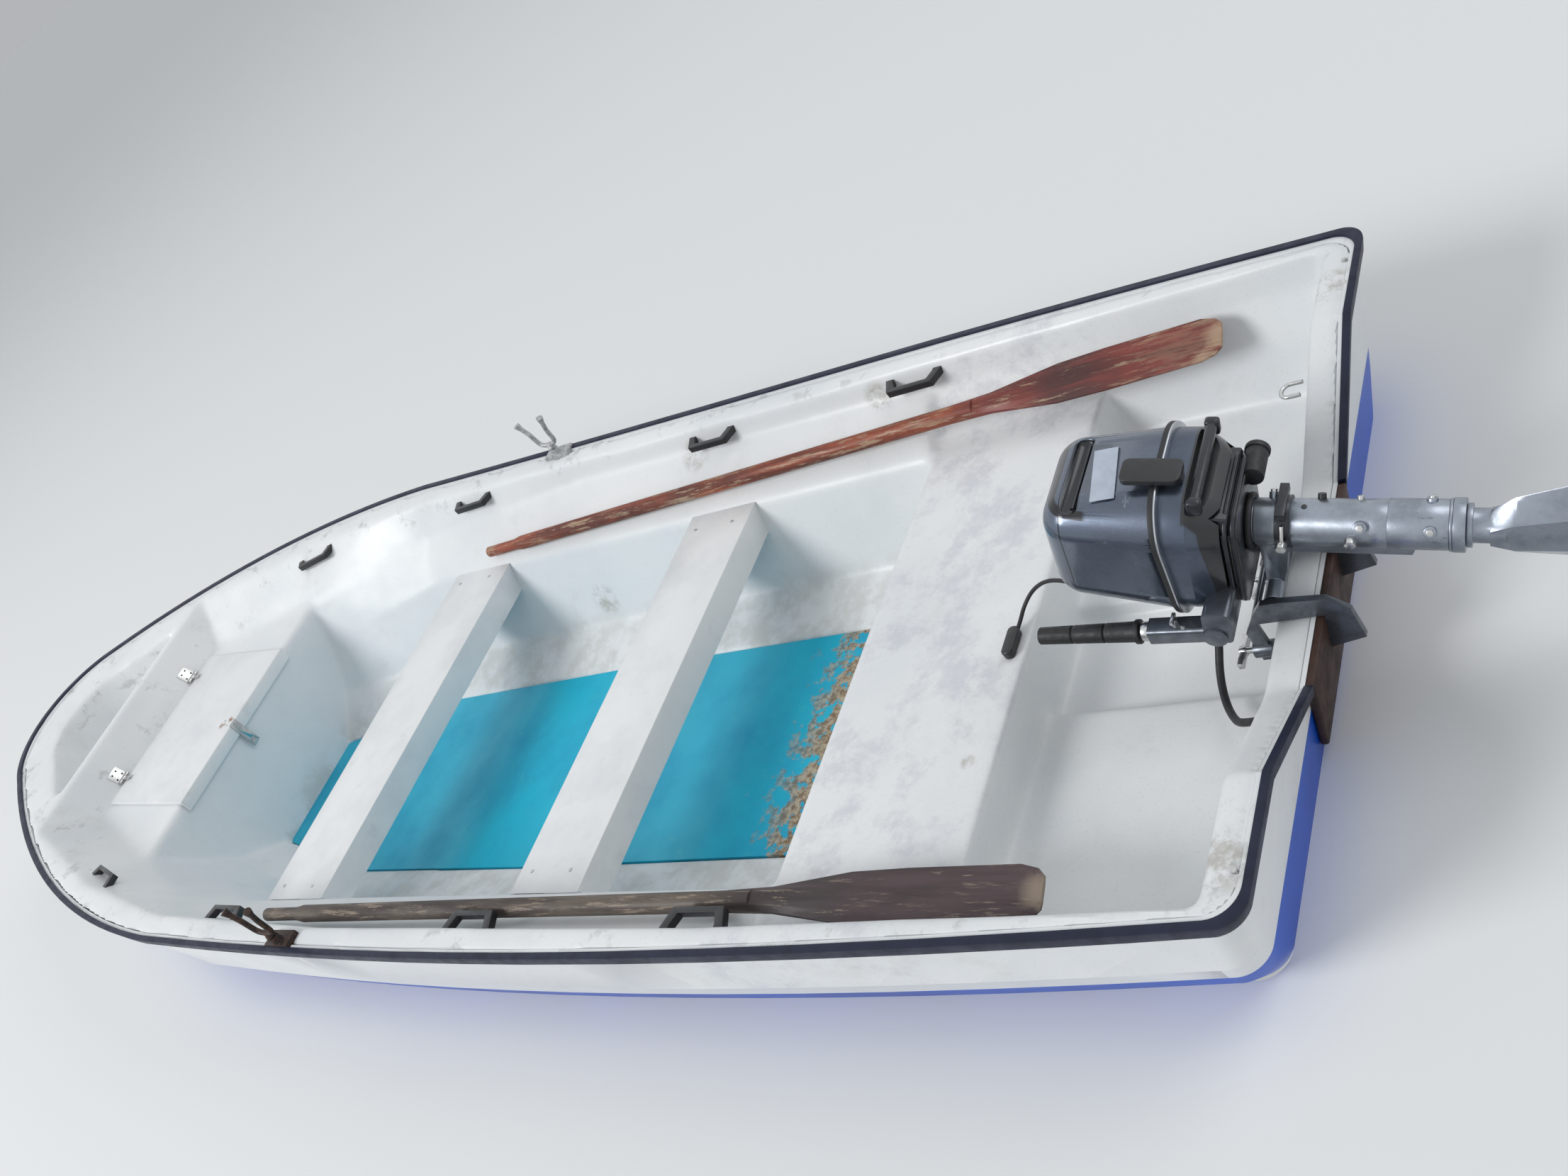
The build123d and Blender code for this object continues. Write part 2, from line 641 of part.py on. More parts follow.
def propeller():
    middle = PROP_X - 34
    hub = Pos(middle, 0, PROP_Z) * Rot(0, 90, 0) * Cylinder(27.0, 56)
    cap = Pos(PROP_X - 72, 0, PROP_Z) * Rot(0, -90, 0) * Cone(24.0, 10.0, 20)
    shape = hub + cap
    blade = propeller_blade()
    for turn in (0, 120, 240):
        shape += Pos(middle, 0, PROP_Z) * Rot(turn, 0, 0) * blade
    return shape


def powerhead():
    return block(-215, -50, -80, 80, PAN_LOW + 12, 265)


def engine_room():
    # Space inside the cowls, around the engine
    return block(-222, -43, -84, 84, PAN_LOW + 12, 290)


def seam_slab(low, high):
    # All that lies between two heights above the sloping seam
    points = []
    for x, rise in ((-400, low), (200, low), (200, high), (-400, high)):
        points.append((x, SEAM_FRONT - SEAM_RISE * x + rise))
    return side_prism(points, -300, 300)


def cowl_outline(z, rear, half, corner, front=COWL_FRONT - 8):
    middle = Plane(origin=((rear + front) / 2, 0, z))
    return (middle * RectangleRounded(front - rear, 2 * half, corner)).wire()


def upper_cowl():
    # Moulded cover, narrower at the top, with a hand recess in its rear face
    outline = RectangleRounded(COWL_FRONT - COWL_REAR, 2 * COWL_HALF, COWL_CORNER)
    middle = (COWL_REAR + COWL_FRONT) / 2
    shape = Pos(middle, 0, COWL_BASE) * extrude(outline, COWL_TOP - COWL_BASE, taper=COWL_DRAFT)
    shape = fillet(shape.faces().sort_by(Axis.Z)[-1].edges(), COWL_ROUND)
    recess = fillet(block(-300, -233, -74, 92, 280, 306).edges().filter_by(Axis.X), 12)
    return (shape & seam_slab(SEAM_HALF, 500)) - recess - engine_room()


# Lower cowl sections from the pan up: height, rear, half width, corner radius
# Columns: z, rear, half, corner
PAN_SECTIONS = [(58.0, -224.0, 99.0, 54.0), (104.0, -259.0, 126.0, 76.0), (190.0, -259.0, 126.0, 76.0)]
PAN_FLANGE = (-206.0, 86.0, 34.0)


def lower_cowl_fill():
    # Body, mounting flange and the pocket behind the carrying handle
    rear, half, corner = PAN_FLANGE
    flange = extrude(Face(cowl_outline(PAN_LOW, rear, half, corner)), PAN_STEP - PAN_LOW, dir=(0, 0, 1))
    body = ruled([cowl_outline(*row) for row in PAN_SECTIONS])
    pocket = block(-300, -236, -82, 82, 74, 106)
    return ((flange + body) & seam_slab(-300, -SEAM_HALF)) - pocket


def lower_cowl():
    return lower_cowl_fill() - engine_room()


def seam_band():
    step = SEAM_STEP
    rear, half = COWL_REAR - step, COWL_HALF + step
    outline = cowl_outline(PAN_LOW, rear, half, COWL_CORNER + step, COWL_FRONT + step)
    shape = extrude(Face(outline), 300, dir=(0, 0, 1)) & seam_slab(-SEAM_HALF, SEAM_HALF)
    return shape - engine_room()


def rear_handle():
    return block(-267, -250, -90, 90, 80, 98)


def latch_lever():
    # A lever over the seam, hung from the lower cowl
    shape = block(-283, -271, 12, 62, 112, 208)
    shape = fillet(shape.edges().filter_by(Axis.X), 12)
    return shape + block(-281, -259, 26, 48, 112, 134)


# Tiller, folded up beside the cowl: pivot casting, arm, neck and grip
TILLER_Y = 140.0
TILLER_X = -22.0
TILLER_Z = 74.0
TILLER_LEAN = 9.0
ARM_LENGTH = 112.0
NECK_LENGTH = 16.0
GRIP_LENGTH = 182.0
GRIP_RADIUS = 18.0
GRIP_END = 15.0
GRIP_GROOVES = (62.0, 120.0)


def tiller_place(shape):
    return Pos(TILLER_X, TILLER_Y, TILLER_Z) * Rot(0, TILLER_LEAN, 0) * shape


def tiller_arm():
    casting = block(TILLER_X - 54, TILLER_X + 14, 80, TILLER_Y + 18, 46, 92)
    casting = fillet(casting.edges().filter_by(Axis.Y), 10)
    pivot = bar_along_y(TILLER_X, TILLER_Z, 20.0, TILLER_Y - 24, TILLER_Y + 22)
    arm = block(-17, 17, -18, 18, 0, ARM_LENGTH)
    arm = fillet(arm.edges().filter_by(Axis.Z), 7)
    neck = Pos(0, 0, ARM_LENGTH + NECK_LENGTH / 2) * Cylinder(12.0, NECK_LENGTH)
    shape = casting + pivot + tiller_place(arm + neck)
    return shape - lower_cowl_fill()


def tiller_grip():
    # A tapered twist grip with a collar and two grooves around it
    base = ARM_LENGTH + NECK_LENGTH
    shape = Pos(0, 0, base + GRIP_LENGTH / 2) * Cone(GRIP_RADIUS, GRIP_END, GRIP_LENGTH)
    shape += Pos(0, 0, base + 4) * Cylinder(GRIP_RADIUS + 3, 8)
    for height in GRIP_GROOVES:
        middle = Pos(0, 0, base + height)
        shape -= middle * (Cylinder(GRIP_RADIUS + 4, 3) - Cylinder(GRIP_END - 1, 5))
    return tiller_place(shape)


HOSE_ROUTE = [
    (208.5, 60.0, 250.4),
    (224.0, 62.0, 200.0),
    (240.0, 78.0, 152.0),
    (248.0, 118.0, 116.0),
    (236.0, 168.0, 100.0),
    (208.0, 214.0, 108.0),
    (176.0, 244.0, 136.0),
    (128.0, 256.0, 158.0),
]
CORD_ROUTE = [
    (386.5, 30.0, 318.0),
    (399.0, 28.0, 278.0),
    (440.0, 12.0, 262.0),
    (495.0, -14.0, 266.0),
    (550.0, -36.0, 256.0),
    (597.0, -44.0, 230.0),
    (624.0, -26.0, 208.0),
    (632.0, 4.0, 195.0),
    (638.0, 32.0, 190.0),
]


HOSE_RADIUS = 7.0
CORD_RADIUS = 4.0


def run_radii(points):
    vectors = [Vector(*p) for p in points]
    radii = []
    for a, b, c in zip(vectors, vectors[1:], vectors[2:]):
        u, v = b - a, c - b
        turn = math.radians(u.get_angle(v))
        radii.append(0.45 * min(u.length, v.length) / math.tan(turn / 2))
    return radii


def cord(points, radius):
    radii = run_radii(points)
    path = FilletPolyline(*points, radius=radii)
    profile = Plane(origin=path @ 0, z_dir=path % 0) * Circle(radius)
    tube = sweep(profile, path=path)
    share = tube.volume / (math.pi * radius**2 * path.length)
    print("cord radii", [round(r) for r in radii])
    print("cord length", round(path.length), "volume share", round(share, 4))
    return tube


parts = {}

# Hull skin, white above the stripe and blue below it
outer = hull_body(0.0)
inner = hull_body(SKIN) & block(-300, 5000, -1000, 1000, HULL_LEVELS[-1][0] + SKIN, 900)
below = sheer_under(0.0)
skin = (outer & below) - inner
transom_zone = ruled([
    polygon_wire([(transom_x(z) + a, y, z) for a, y in ((-60, -900), (60, -900), (60, 900), (-60, 900))])
    for z in (-300.0, 700.0)
])
aft_skin = skin & transom_zone
side_skin = skin - transom_zone
port_half = block(-300, 5000, 0, 1000, -500, 900)
starboard_half = block(-300, 5000, -1000, 0, -500, 900)
high = block(-300, 5000, -1000, 1000, STRIPE_TOP, 900)
middle = block(-300, 5000, -1000, 1000, BILGE_LOW, STRIPE_TOP)
low = block(-300, 5000, -1000, 1000, -500, BILGE_LOW)
parts["topside_port"] = side_skin & high & port_half
parts["topside_starboard"] = side_skin & high & starboard_half
parts["bilge_port"] = side_skin & middle & port_half
parts["bilge_starboard"] = side_skin & middle & starboard_half
parts["hull_bottom"] = side_skin & low
parts["transom_upper"] = aft_skin & high
parts["transom_lower"] = aft_skin & (middle + low)

# Rub strip around the sheer, open across the notch
rub_outer = hull_body(-RUB_REACH)
band = sheer_under(RUB_LIP) - sheer_under(-RUB_DEPTH)
rub = (rub_outer - outer) & band
rub = rub - block(-200, 200, -NOTCH_HALF, NOTCH_HALF, -400, 900)
parts["rub_strip_port"] = rub & port_half
parts["rub_strip_starboard"] = rub & starboard_half

# Inner moulding, cut into its regions
fill = (inner & below) - floor_prism(-400.0, FLOOR_TOP)
side_zone = block(BENCH_FORE, BULKHEAD_X, -900, 900, -400, 900)
side_fill = (fill & side_zone) - cockpit_cavity()
parts["side_liner_port"] = side_fill & port_half
parts["side_liner_starboard"] = side_fill & starboard_half
parts["floor"] = floor_prism(FLOOR_TOP - FLOOR_THICK, FLOOR_TOP) & inner
bench_zone = block(BENCH_AFT, BENCH_FORE, -900, 900, -400, 900)
parts["stern_bench"] = (inner & below & bench_zone) - bench_cavity()
well_zone = block(-200, BENCH_AFT, -900, 900, -400, 900)
parts["stern_well"] = (inner & below & well_zone) - well_cavity()
locker_zone = block(BULKHEAD_X, LOCKER_FORE, -900, 900, -400, 900)
parts["bow_locker"] = (inner & below & locker_zone) - locker_top_cavity() - locker_hollow()
bow_zone = block(LOCKER_FORE, 4600, -900, 900, -400, 900)
parts["foredeck"] = (inner & below & bow_zone) - locker_top_cavity() - bow_well_cavity()


# Fittings fixed to the hull
cockpit = cockpit_cavity()
room = cockpit + locker_top_cavity() + bench_cavity()
for name, aft, fore in THWARTS:
    parts[name] = thwart(aft, fore, cockpit)
handles = None
for row in HANDLES:
    for side in (1, -1):
        unit = grab_handle(row, side) & room
        handles = unit if handles is None else handles + unit
parts["grab_handles"] = handles
parts["lid_hinges"] = hinge_fixed()
parts["locker_lid"] = lid_panel()
parts["lid_fittings"] = hinge_moving() + hasp()
sockets = rowlock_socket(1) + rowlock_socket(-1)
parts["rowlock_sockets"] = sockets
holes = None
for side in (1, -1):
    middle = Pos(ROWLOCK_X, ROWLOCK_Y * side, (SOCKET_HOLE_LOW + SOCKET_HOLE_HIGH) / 2)
    hole = middle * Cylinder(SOCKET_HOLE, SOCKET_HOLE_HIGH - SOCKET_HOLE_LOW)
    holes = hole if holes is None else holes + hole
for name in ("side_liner_port", "side_liner_starboard"):
    parts[name] = parts[name] - sockets - holes
for name in ("topside_port", "topside_starboard", "rub_strip_port", "rub_strip_starboard"):
    parts[name] = parts[name] - sockets - holes
parts["rowlock_port"] = rowlock(1)
parts["rowlock_starboard"] = rowlock(-1)
for name, grip, tip, roll in OARS:
    parts[name] = oar(grip, tip, roll)
bow_eye = eye(4.0, 17.0, 20.0, Pos(4052, 0, 352) * Rot(0, -60, 0) * Rot(0, 0, 90))
stern_eye = eye(4.0, 17.0, 20.0, Pos(140, -402, 255) * Rot(0, 90, 0) * Rot(0, 0, 90))
parts["mooring_eyes"] = (bow_eye + stern_eye) - parts["foredeck"] - parts["stern_well"]
parts["motor_pad"] = motor_pad()

# Outboard
parts["clamp_bracket"] = clamp_bracket()
parts["clamp_screws"] = clamp_screws()
parts["swivel_tube"] = outboard_place(swivel())
parts["friction_clamp"] = outboard_place(friction_clamp() - swivel())
parts["leg"] = outboard_place(leg())
parts["gearcase"] = outboard_place(gearcase())
parts["propeller"] = outboard_place(propeller())
parts["powerhead"] = outboard_place(powerhead())
parts["lower_cowl"] = outboard_place(lower_cowl())
parts["seam_band"] = outboard_place(seam_band())
parts["upper_cowl"] = outboard_place(upper_cowl())
parts["rear_handle"] = outboard_place(rear_handle() - lower_cowl_fill())
parts["latch_lever"] = outboard_place(latch_lever())
parts["tiller_arm"] = outboard_place(tiller_arm())
parts["tiller_grip"] = outboard_place(tiller_grip())
parts["fuel_hose"] = cord(HOSE_ROUTE, HOSE_RADIUS) - parts["stern_well"] - parts["lower_cowl"]
parts["starter_grip"] = Pos(0, 45, BENCH_TOP) * rounded_box(630, 654, 34, 0, 20, 11, 0)
starter_line = cord(CORD_ROUTE, CORD_RADIUS) - parts["upper_cowl"] - parts["starter_grip"]
parts["starter_cord"] = starter_line

for name, shape in parts.items():
    placed = Pos(-MIDSHIP, 0, 0) * shape
    placed.label = name
    export_step(placed, f"parts/{name}.step")
    print(name, round(placed.volume / 1e3), len(placed.solids()))
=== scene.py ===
import bpy
import math
from mathutils import Matrix, Vector
from mathutils.bvhtree import BVHTree


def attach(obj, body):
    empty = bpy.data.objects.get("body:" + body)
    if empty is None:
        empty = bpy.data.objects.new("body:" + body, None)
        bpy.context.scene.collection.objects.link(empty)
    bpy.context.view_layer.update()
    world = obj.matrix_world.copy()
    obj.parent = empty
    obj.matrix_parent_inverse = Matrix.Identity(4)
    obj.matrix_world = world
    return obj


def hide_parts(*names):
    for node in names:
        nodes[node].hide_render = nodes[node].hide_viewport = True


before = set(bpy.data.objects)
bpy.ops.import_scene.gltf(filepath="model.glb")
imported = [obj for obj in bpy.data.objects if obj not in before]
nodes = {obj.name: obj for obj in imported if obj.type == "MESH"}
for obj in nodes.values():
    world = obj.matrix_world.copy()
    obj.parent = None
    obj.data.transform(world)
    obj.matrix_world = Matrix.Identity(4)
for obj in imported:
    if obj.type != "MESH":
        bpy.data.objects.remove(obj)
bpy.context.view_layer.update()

# Merging distances in metres, and the angle from which the edges of added trim are rounded
meshSettings = {"copyMerge": 0.00002, "unionMerge": 0.0002, "ringMerge": 0.00001, "trimAngle": 40}


def deselectAll():
    if bpy.context.object and bpy.context.object.mode != "OBJECT":
        bpy.ops.object.mode_set(mode="OBJECT")
    bpy.ops.object.select_all(action="DESELECT")


def activate(piece):
    deselectAll()
    piece.select_set(True)
    bpy.context.view_layer.objects.active = piece


def applyModifier(piece, kind, **settings):
    activate(piece)
    modifier = piece.modifiers.new(kind.title(), kind)
    for key, value in settings.items():
        setattr(modifier, key, value)
    bpy.ops.object.modifier_apply(modifier=modifier.name)


def softEdges(piece, width, segments=2, angle=28, smooth=35):
    if width > 0:
        applyModifier(piece, "BEVEL", width=width, segments=segments, limit_method="ANGLE",
                      angle_limit=math.radians(angle), harden_normals=False, miter_outer="MITER_ARC")
    activate(piece)
    bpy.ops.object.shade_smooth_by_angle(angle=math.radians(smooth))


def mergeFlats(piece, merge, flat):
    # Merge doubled corners and join faces that lie in one plane
    activate(piece)
    bpy.ops.object.mode_set(mode="EDIT")
    bpy.ops.mesh.select_all(action="SELECT")
    bpy.ops.mesh.remove_doubles(threshold=merge)
    bpy.ops.mesh.dissolve_limited(angle_limit=math.radians(flat))
    bpy.ops.object.mode_set(mode="OBJECT")


def copyOfNode(name, flat=0.5):
    piece = bpy.data.objects.new(name + "Copy", nodes[name].data.copy())
    bpy.context.collection.objects.link(piece)
    mergeFlats(piece, meshSettings["copyMerge"], flat)
    piece.data.materials.clear()
    return piece


def unite(first, others):
    for other in others:
        applyModifier(first, "BOOLEAN", operation="UNION", solver="EXACT", object=other)
        bpy.data.objects.remove(other, do_unlink=True)
    return first


def dress(label, names, width, material, body="boat", segments=2, angle=28, smooth=35, flat=0.5):
    # One piece from the named solids, with its edges rounded by the width, on its body
    pieces = [copyOfNode(name, flat) for name in names]
    piece = unite(pieces[0], pieces[1:])
    piece.name = label
    if len(names) > 1:
        mergeFlats(piece, meshSettings["unionMerge"], flat)
    softEdges(piece, width, segments, angle, smooth)
    piece.data.materials.append(material)
    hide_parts(*names)
    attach(piece, body)
    return piece


def slab(size, place=(0, 0, 0), turn=None):
    # A block of the given size, drawn about its middle
    deselectAll()
    bpy.ops.mesh.primitive_cube_add(size=1)
    piece = bpy.context.object
    turned = turn or Matrix()
    piece.data.transform(Matrix.Translation(place) @ turned @ Matrix.Diagonal((*size, 1)))
    return piece


def barBetween(start, end, radius, endRadius=None, sides=24):
    # A round bar or cone from one point to another
    start, end = Vector(start), Vector(end)
    deselectAll()
    tip = radius if endRadius is None else endRadius
    bpy.ops.mesh.primitive_cone_add(vertices=sides, radius1=radius, radius2=tip, depth=(end - start).length)
    piece = bpy.context.object
    turn = (end - start).to_track_quat("Z", "Y").to_matrix().to_4x4()
    piece.data.transform(Matrix.Translation((start + end) / 2) @ turn)
    return piece


def ringBand(middle, inner, outer, low, high, sides=56):
    # A closed ring: the outline of its section, spun around an upright axis
    deselectAll()
    bpy.ops.mesh.primitive_plane_add(size=1)
    piece = bpy.context.object
    upright = Matrix.Rotation(math.radians(90), 4, "X")
    size = Matrix.Diagonal((outer - inner, 1, high - low, 1))
    piece.data.transform(Matrix.Translation(((inner + outer) / 2, 0, (low + high) / 2)) @ size @ upright)
    bpy.ops.object.mode_set(mode="EDIT")
    bpy.ops.mesh.select_all(action="SELECT")
    bpy.ops.mesh.delete(type="ONLY_FACE")
    bpy.ops.mesh.select_all(action="SELECT")
    bpy.ops.mesh.spin(steps=sides, angle=2 * math.pi, center=(0, 0, 0), axis=(0, 0, 1))
    bpy.ops.mesh.select_all(action="SELECT")
    bpy.ops.mesh.remove_doubles(threshold=meshSettings["ringMerge"])
    bpy.ops.object.mode_set(mode="OBJECT")
    piece.data.transform(Matrix.Translation((*middle, 0)))
    return piece


def roundedPlate(x0, x1, half, corner, low, high, steps=6):
    # A flat plate with its upright edges rounded
    piece = slab((x1 - x0, 2 * half, high - low), ((x0 + x1) / 2, 0, (low + high) / 2))
    bpy.ops.object.mode_set(mode="EDIT")
    bpy.ops.mesh.select_mode(type="EDGE")
    bpy.ops.mesh.select_all(action="DESELECT")
    bpy.ops.object.mode_set(mode="OBJECT")
    for edge in piece.data.edges:
        a, b = (piece.data.vertices[index].co.z for index in edge.vertices)
        edge.select = abs(a - b) > (high - low) / 2
    bpy.ops.object.mode_set(mode="EDIT")
    bpy.ops.mesh.bevel(offset=corner, segments=steps, affect="EDGES")
    bpy.ops.mesh.select_mode(type="VERT")
    bpy.ops.object.mode_set(mode="OBJECT")
    return piece


def gather(label, pieces, width, material, body, place=None, smooth=35, segments=2):
    # Join loose pieces into one, put it in place and round its edges by the width
    deselectAll()
    for piece in pieces:
        piece.select_set(True)
    bpy.context.view_layer.objects.active = pieces[0]
    if len(pieces) > 1:
        bpy.ops.object.join()
    piece = pieces[0]
    piece.name = label
    if place:
        piece.data.transform(place)
    activate(piece)
    bpy.ops.object.mode_set(mode="EDIT")
    bpy.ops.mesh.select_all(action="SELECT")
    bpy.ops.mesh.normals_make_consistent(inside=False)
    bpy.ops.object.mode_set(mode="OBJECT")
    softEdges(piece, width, segments, meshSettings["trimAngle"], smooth)
    piece.data.materials.append(material)
    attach(piece, body)
    return piece


class Value:
    # Wraps a socket so that shader maths reads as maths
    def __init__(self, tree, socket):
        self.tree = tree
        self.socket = socket

    def maths(self, operation, other, swapped=False):
        node = self.tree.nodes.new("ShaderNodeMath")
        node.operation = operation
        pair = (other, self) if swapped else (self, other)
        for index, item in enumerate(pair):
            if isinstance(item, Value):
                self.tree.links.new(item.socket, node.inputs[index])
            else:
                node.inputs[index].default_value = item
        return Value(self.tree, node.outputs[0])

    def __add__(self, other):
        return self.maths("ADD", other)

    def __radd__(self, other):
        return self.maths("ADD", other, True)

    def __sub__(self, other):
        return self.maths("SUBTRACT", other)

    def __rsub__(self, other):
        return self.maths("SUBTRACT", other, True)

    def __mul__(self, other):
        return self.maths("MULTIPLY", other)

    def __rmul__(self, other):
        return self.maths("MULTIPLY", other, True)

    def __gt__(self, other):
        return self.maths("GREATER_THAN", other)

    def high(self, other):
        return self.maths("MAXIMUM", other)


def addNode(tree, kind, settings=None, sockets=None):
    # A node with its settings first, then the value or link of each socket
    node = tree.nodes.new(kind)
    for key, value in (settings or {}).items():
        setattr(node, key, value)
    for key, value in (sockets or {}).items():
        socket = node.inputs[key]
        if isinstance(value, Value):
            tree.links.new(value.socket, socket)
        elif socket.type == "RGBA":
            socket.default_value = (*value, 1)
        else:
            socket.default_value = value
    return node


coatRoughness = 0.12


class Finish:
    # One material with its node tree
    def __init__(self, name, colour, roughness=0.5, metallic=0.0, coat=0.0, specular=0.5):
        self.material = bpy.data.materials.new(name)
        self.material.use_nodes = True
        self.tree = self.material.node_tree
        self.shader = self.tree.nodes["Principled BSDF"]
        sockets = {"Base Color": (*colour, 1), "Roughness": roughness, "Metallic": metallic,
                   "Coat Weight": coat, "Coat Roughness": coatRoughness, "Specular IOR Level": specular}
        for key, value in sockets.items():
            self.shader.inputs[key].default_value = value

    def add(self, kind, output, settings=None, sockets=None):
        return Value(self.tree, addNode(self.tree, kind, settings, sockets).outputs[output])

    def place(self):
        return self.add("ShaderNodeTexCoord", "Object")

    def axes(self):
        split = addNode(self.tree, "ShaderNodeSeparateXYZ", None, {"Vector": self.place()})
        return [Value(self.tree, split.outputs[axis]) for axis in "XYZ"]

    def noise(self, scale, detail=3.0, roughness=0.55, stretch=(1, 1, 1), shift=(0, 0, 0)):
        vector = self.place()
        if (stretch, shift) != ((1, 1, 1), (0, 0, 0)):
            mapping = {"Vector": vector, "Scale": stretch, "Location": shift}
            vector = self.add("ShaderNodeMapping", "Vector", None, mapping)
        sockets = {"Vector": vector, "Scale": scale, "Detail": detail, "Roughness": roughness}
        return self.add("ShaderNodeTexNoise", "Fac", None, sockets)

    def steps(self, value, low, high, bottom=0.0, top=1.0):
        # A smooth rise from bottom to top between low and high
        settings = {"clamp": True, "interpolation_type": "SMOOTHSTEP"}
        sockets = {"Value": value, "From Min": low, "From Max": high, "To Min": bottom, "To Max": top}
        return self.add("ShaderNodeMapRange", "Result", settings, sockets)

    def between(self, value, rise, fall):
        # One from the end of the rise to the start of the fall, zero outside both
        return self.steps(value, *rise) * self.steps(value, *fall, 1, 0)

    def mix(self, factor, first, second):
        # The colour sockets of the node are its seventh and eighth, its colour output the third
        return self.add("ShaderNodeMix", 2, {"data_type": "RGBA"}, {0: factor, 6: first, 7: second})

    def spot(self, centre, radius, soft=0.6):
        # One inside a ball around a place, fading to zero at its edge
        sockets = {0: self.place(), 1: centre}
        distance = self.add("ShaderNodeVectorMath", "Value", {"operation": "DISTANCE"}, sockets)
        return self.steps(distance, radius * (1 - soft), radius, 1, 0)

    def spots(self, rows):
        total = None
        for centre, radius in rows:
            one = self.spot(centre, radius)
            total = one if total is None else total.high(one)
        return total

    def use(self, key, value):
        self.tree.links.new(value.socket, self.shader.inputs[key])

    def bump(self, height, strength, distance):
        sockets = {"Height": height, "Strength": strength, "Distance": distance}
        self.use("Normal", self.add("ShaderNodeBump", "Normal", None, sockets))


# Stains on the white mouldings, and small drilled holes painted as dark spots of shade: middle, radius
whiteStains = [
    ((1.391, -0.60, 0.055), 0.06), ((1.725, -0.53, 0.27), 0.03), ((0.075, -0.50, 0.02), 0.06),
    ((-0.39, -0.70, 0.262), 0.06), ((-0.994, -0.70, 0.28), 0.05), ((-1.493, 0.305, 0.18), 0.02),
    ((-1.86, -0.25, 0.07), 0.12), ((1.95, 0.25, 0.42), 0.05),
    ((-2.09, 0.62, 0.33), 0.07), ((-2.10, -0.58, 0.33), 0.05),
]
whiteHoleShades = [
    ((-1.084, -0.452, 0.18), 0.004), ((-1.092, -0.466, 0.18), 0.004), ((-1.076, -0.468, 0.18), 0.004),
    ((-1.07, -0.452, 0.18), 0.003), ((1.262, -0.30, 0.30), 0.004), ((1.05, -0.55, 0.21), 0.004),
    ((1.03, -0.553, 0.20), 0.004), ((0.98, -0.56, 0.19), 0.005),
]
# Colours of the gelcoat, its wear and a darker band at the foot of the walls, and where each begins and ends
# along or above the boat
whiteLook = {
    "pale": (0.82, 0.835, 0.84), "shade": (0.74, 0.765, 0.785), "grime": (0.52, 0.50, 0.44),
    "mottle": (0.50, 0.51, 0.58), "footDarkening": (0.34, 0.30, 0.22), "scuff": (0.40, 0.41, 0.42),
    "stain": (0.27, 0.24, 0.17), "hole": (0.03, 0.03, 0.03), "grain": (0.50, 0.52, 0.55),
    "benchRear": (-1.60, -1.52), "benchFront": (-1.16, -1.09), "benchTop": (0.165, 0.176),
    "footBelow": (-0.10, -0.088), "footAbove": (-0.085, 0.02), "rimFrom": (0.31, 0.335),
}


def whiteFinish():
    look = whiteLook
    finish = Finish("whiteGelcoat", (0.76, 0.78, 0.78), 0.42, 0.0, 0.1)
    x, z = finish.axes()[::2]
    cloud = finish.noise(2.2, 4, 0.6)
    grain = finish.noise(210, 2, 0.6)
    fibre = finish.noise(60, 3, 0.6, stretch=(1, 1, 0.18), shift=(4, 0, 0))
    base = finish.mix(finish.steps(cloud, 0.35, 0.7), look["pale"], look["shade"])
    grime = finish.steps(finish.noise(5.5, 6, 0.72, shift=(3, 1, 0)), 0.54, 0.78, 0, 0.3)
    base = finish.mix(grime, base, look["grime"])
    bench = finish.between(x, look["benchRear"], look["benchFront"]) * finish.steps(z, *look["benchTop"])
    mottle = finish.steps(finish.noise(7.5, 6, 0.75, shift=(0, 5, 2)), 0.46, 0.66, 0, 0.5)
    base = finish.mix(bench * mottle, base, look["mottle"])
    # A patchy darker brown band at the foot of the walls, just above the floor
    footDarkening = finish.steps(finish.noise(9, 5, 0.7), 0.42, 0.62)
    foot = finish.between(z, look["footBelow"], look["footAbove"]) * footDarkening
    base = finish.mix(foot * 0.3, base, look["footDarkening"])
    scuff = finish.steps(finish.noise(14, 5, 0.7, shift=(7, 2, 0)), 0.56, 0.68, 0, 0.5)
    base = finish.mix(finish.steps(z, *look["rimFrom"]) * scuff, base, look["scuff"])
    stains = finish.spots(whiteStains) * finish.steps(finish.noise(26, 5, 0.75), 0.40, 0.62)
    base = finish.mix(stains * 0.55, base, look["stain"])
    # Painted shade: the small drilled holes are coloured near black
    base = finish.mix(finish.spots(whiteHoleShades), base, look["hole"])
    base = finish.mix(finish.steps(grain, 0.60, 0.74, 0, 0.3), base, look["grain"])
    finish.use("Base Color", base)
    finish.use("Roughness", finish.steps(cloud, 0.3, 0.7, 0.34, 0.55))
    finish.bump(grain * 0.5 + fibre * 0.7, 0.22, 0.0015)
    return finish.material


paintLook = {"pale": (0.82, 0.83, 0.83), "shade": (0.72, 0.74, 0.76), "rubbed": (0.53, 0.54, 0.56),
             "rust": (0.28, 0.13, 0.05),
             "rustSpots": [((1.243, -0.014, 0.295), 0.016), ((1.268, 0.008, 0.298), 0.018)]}


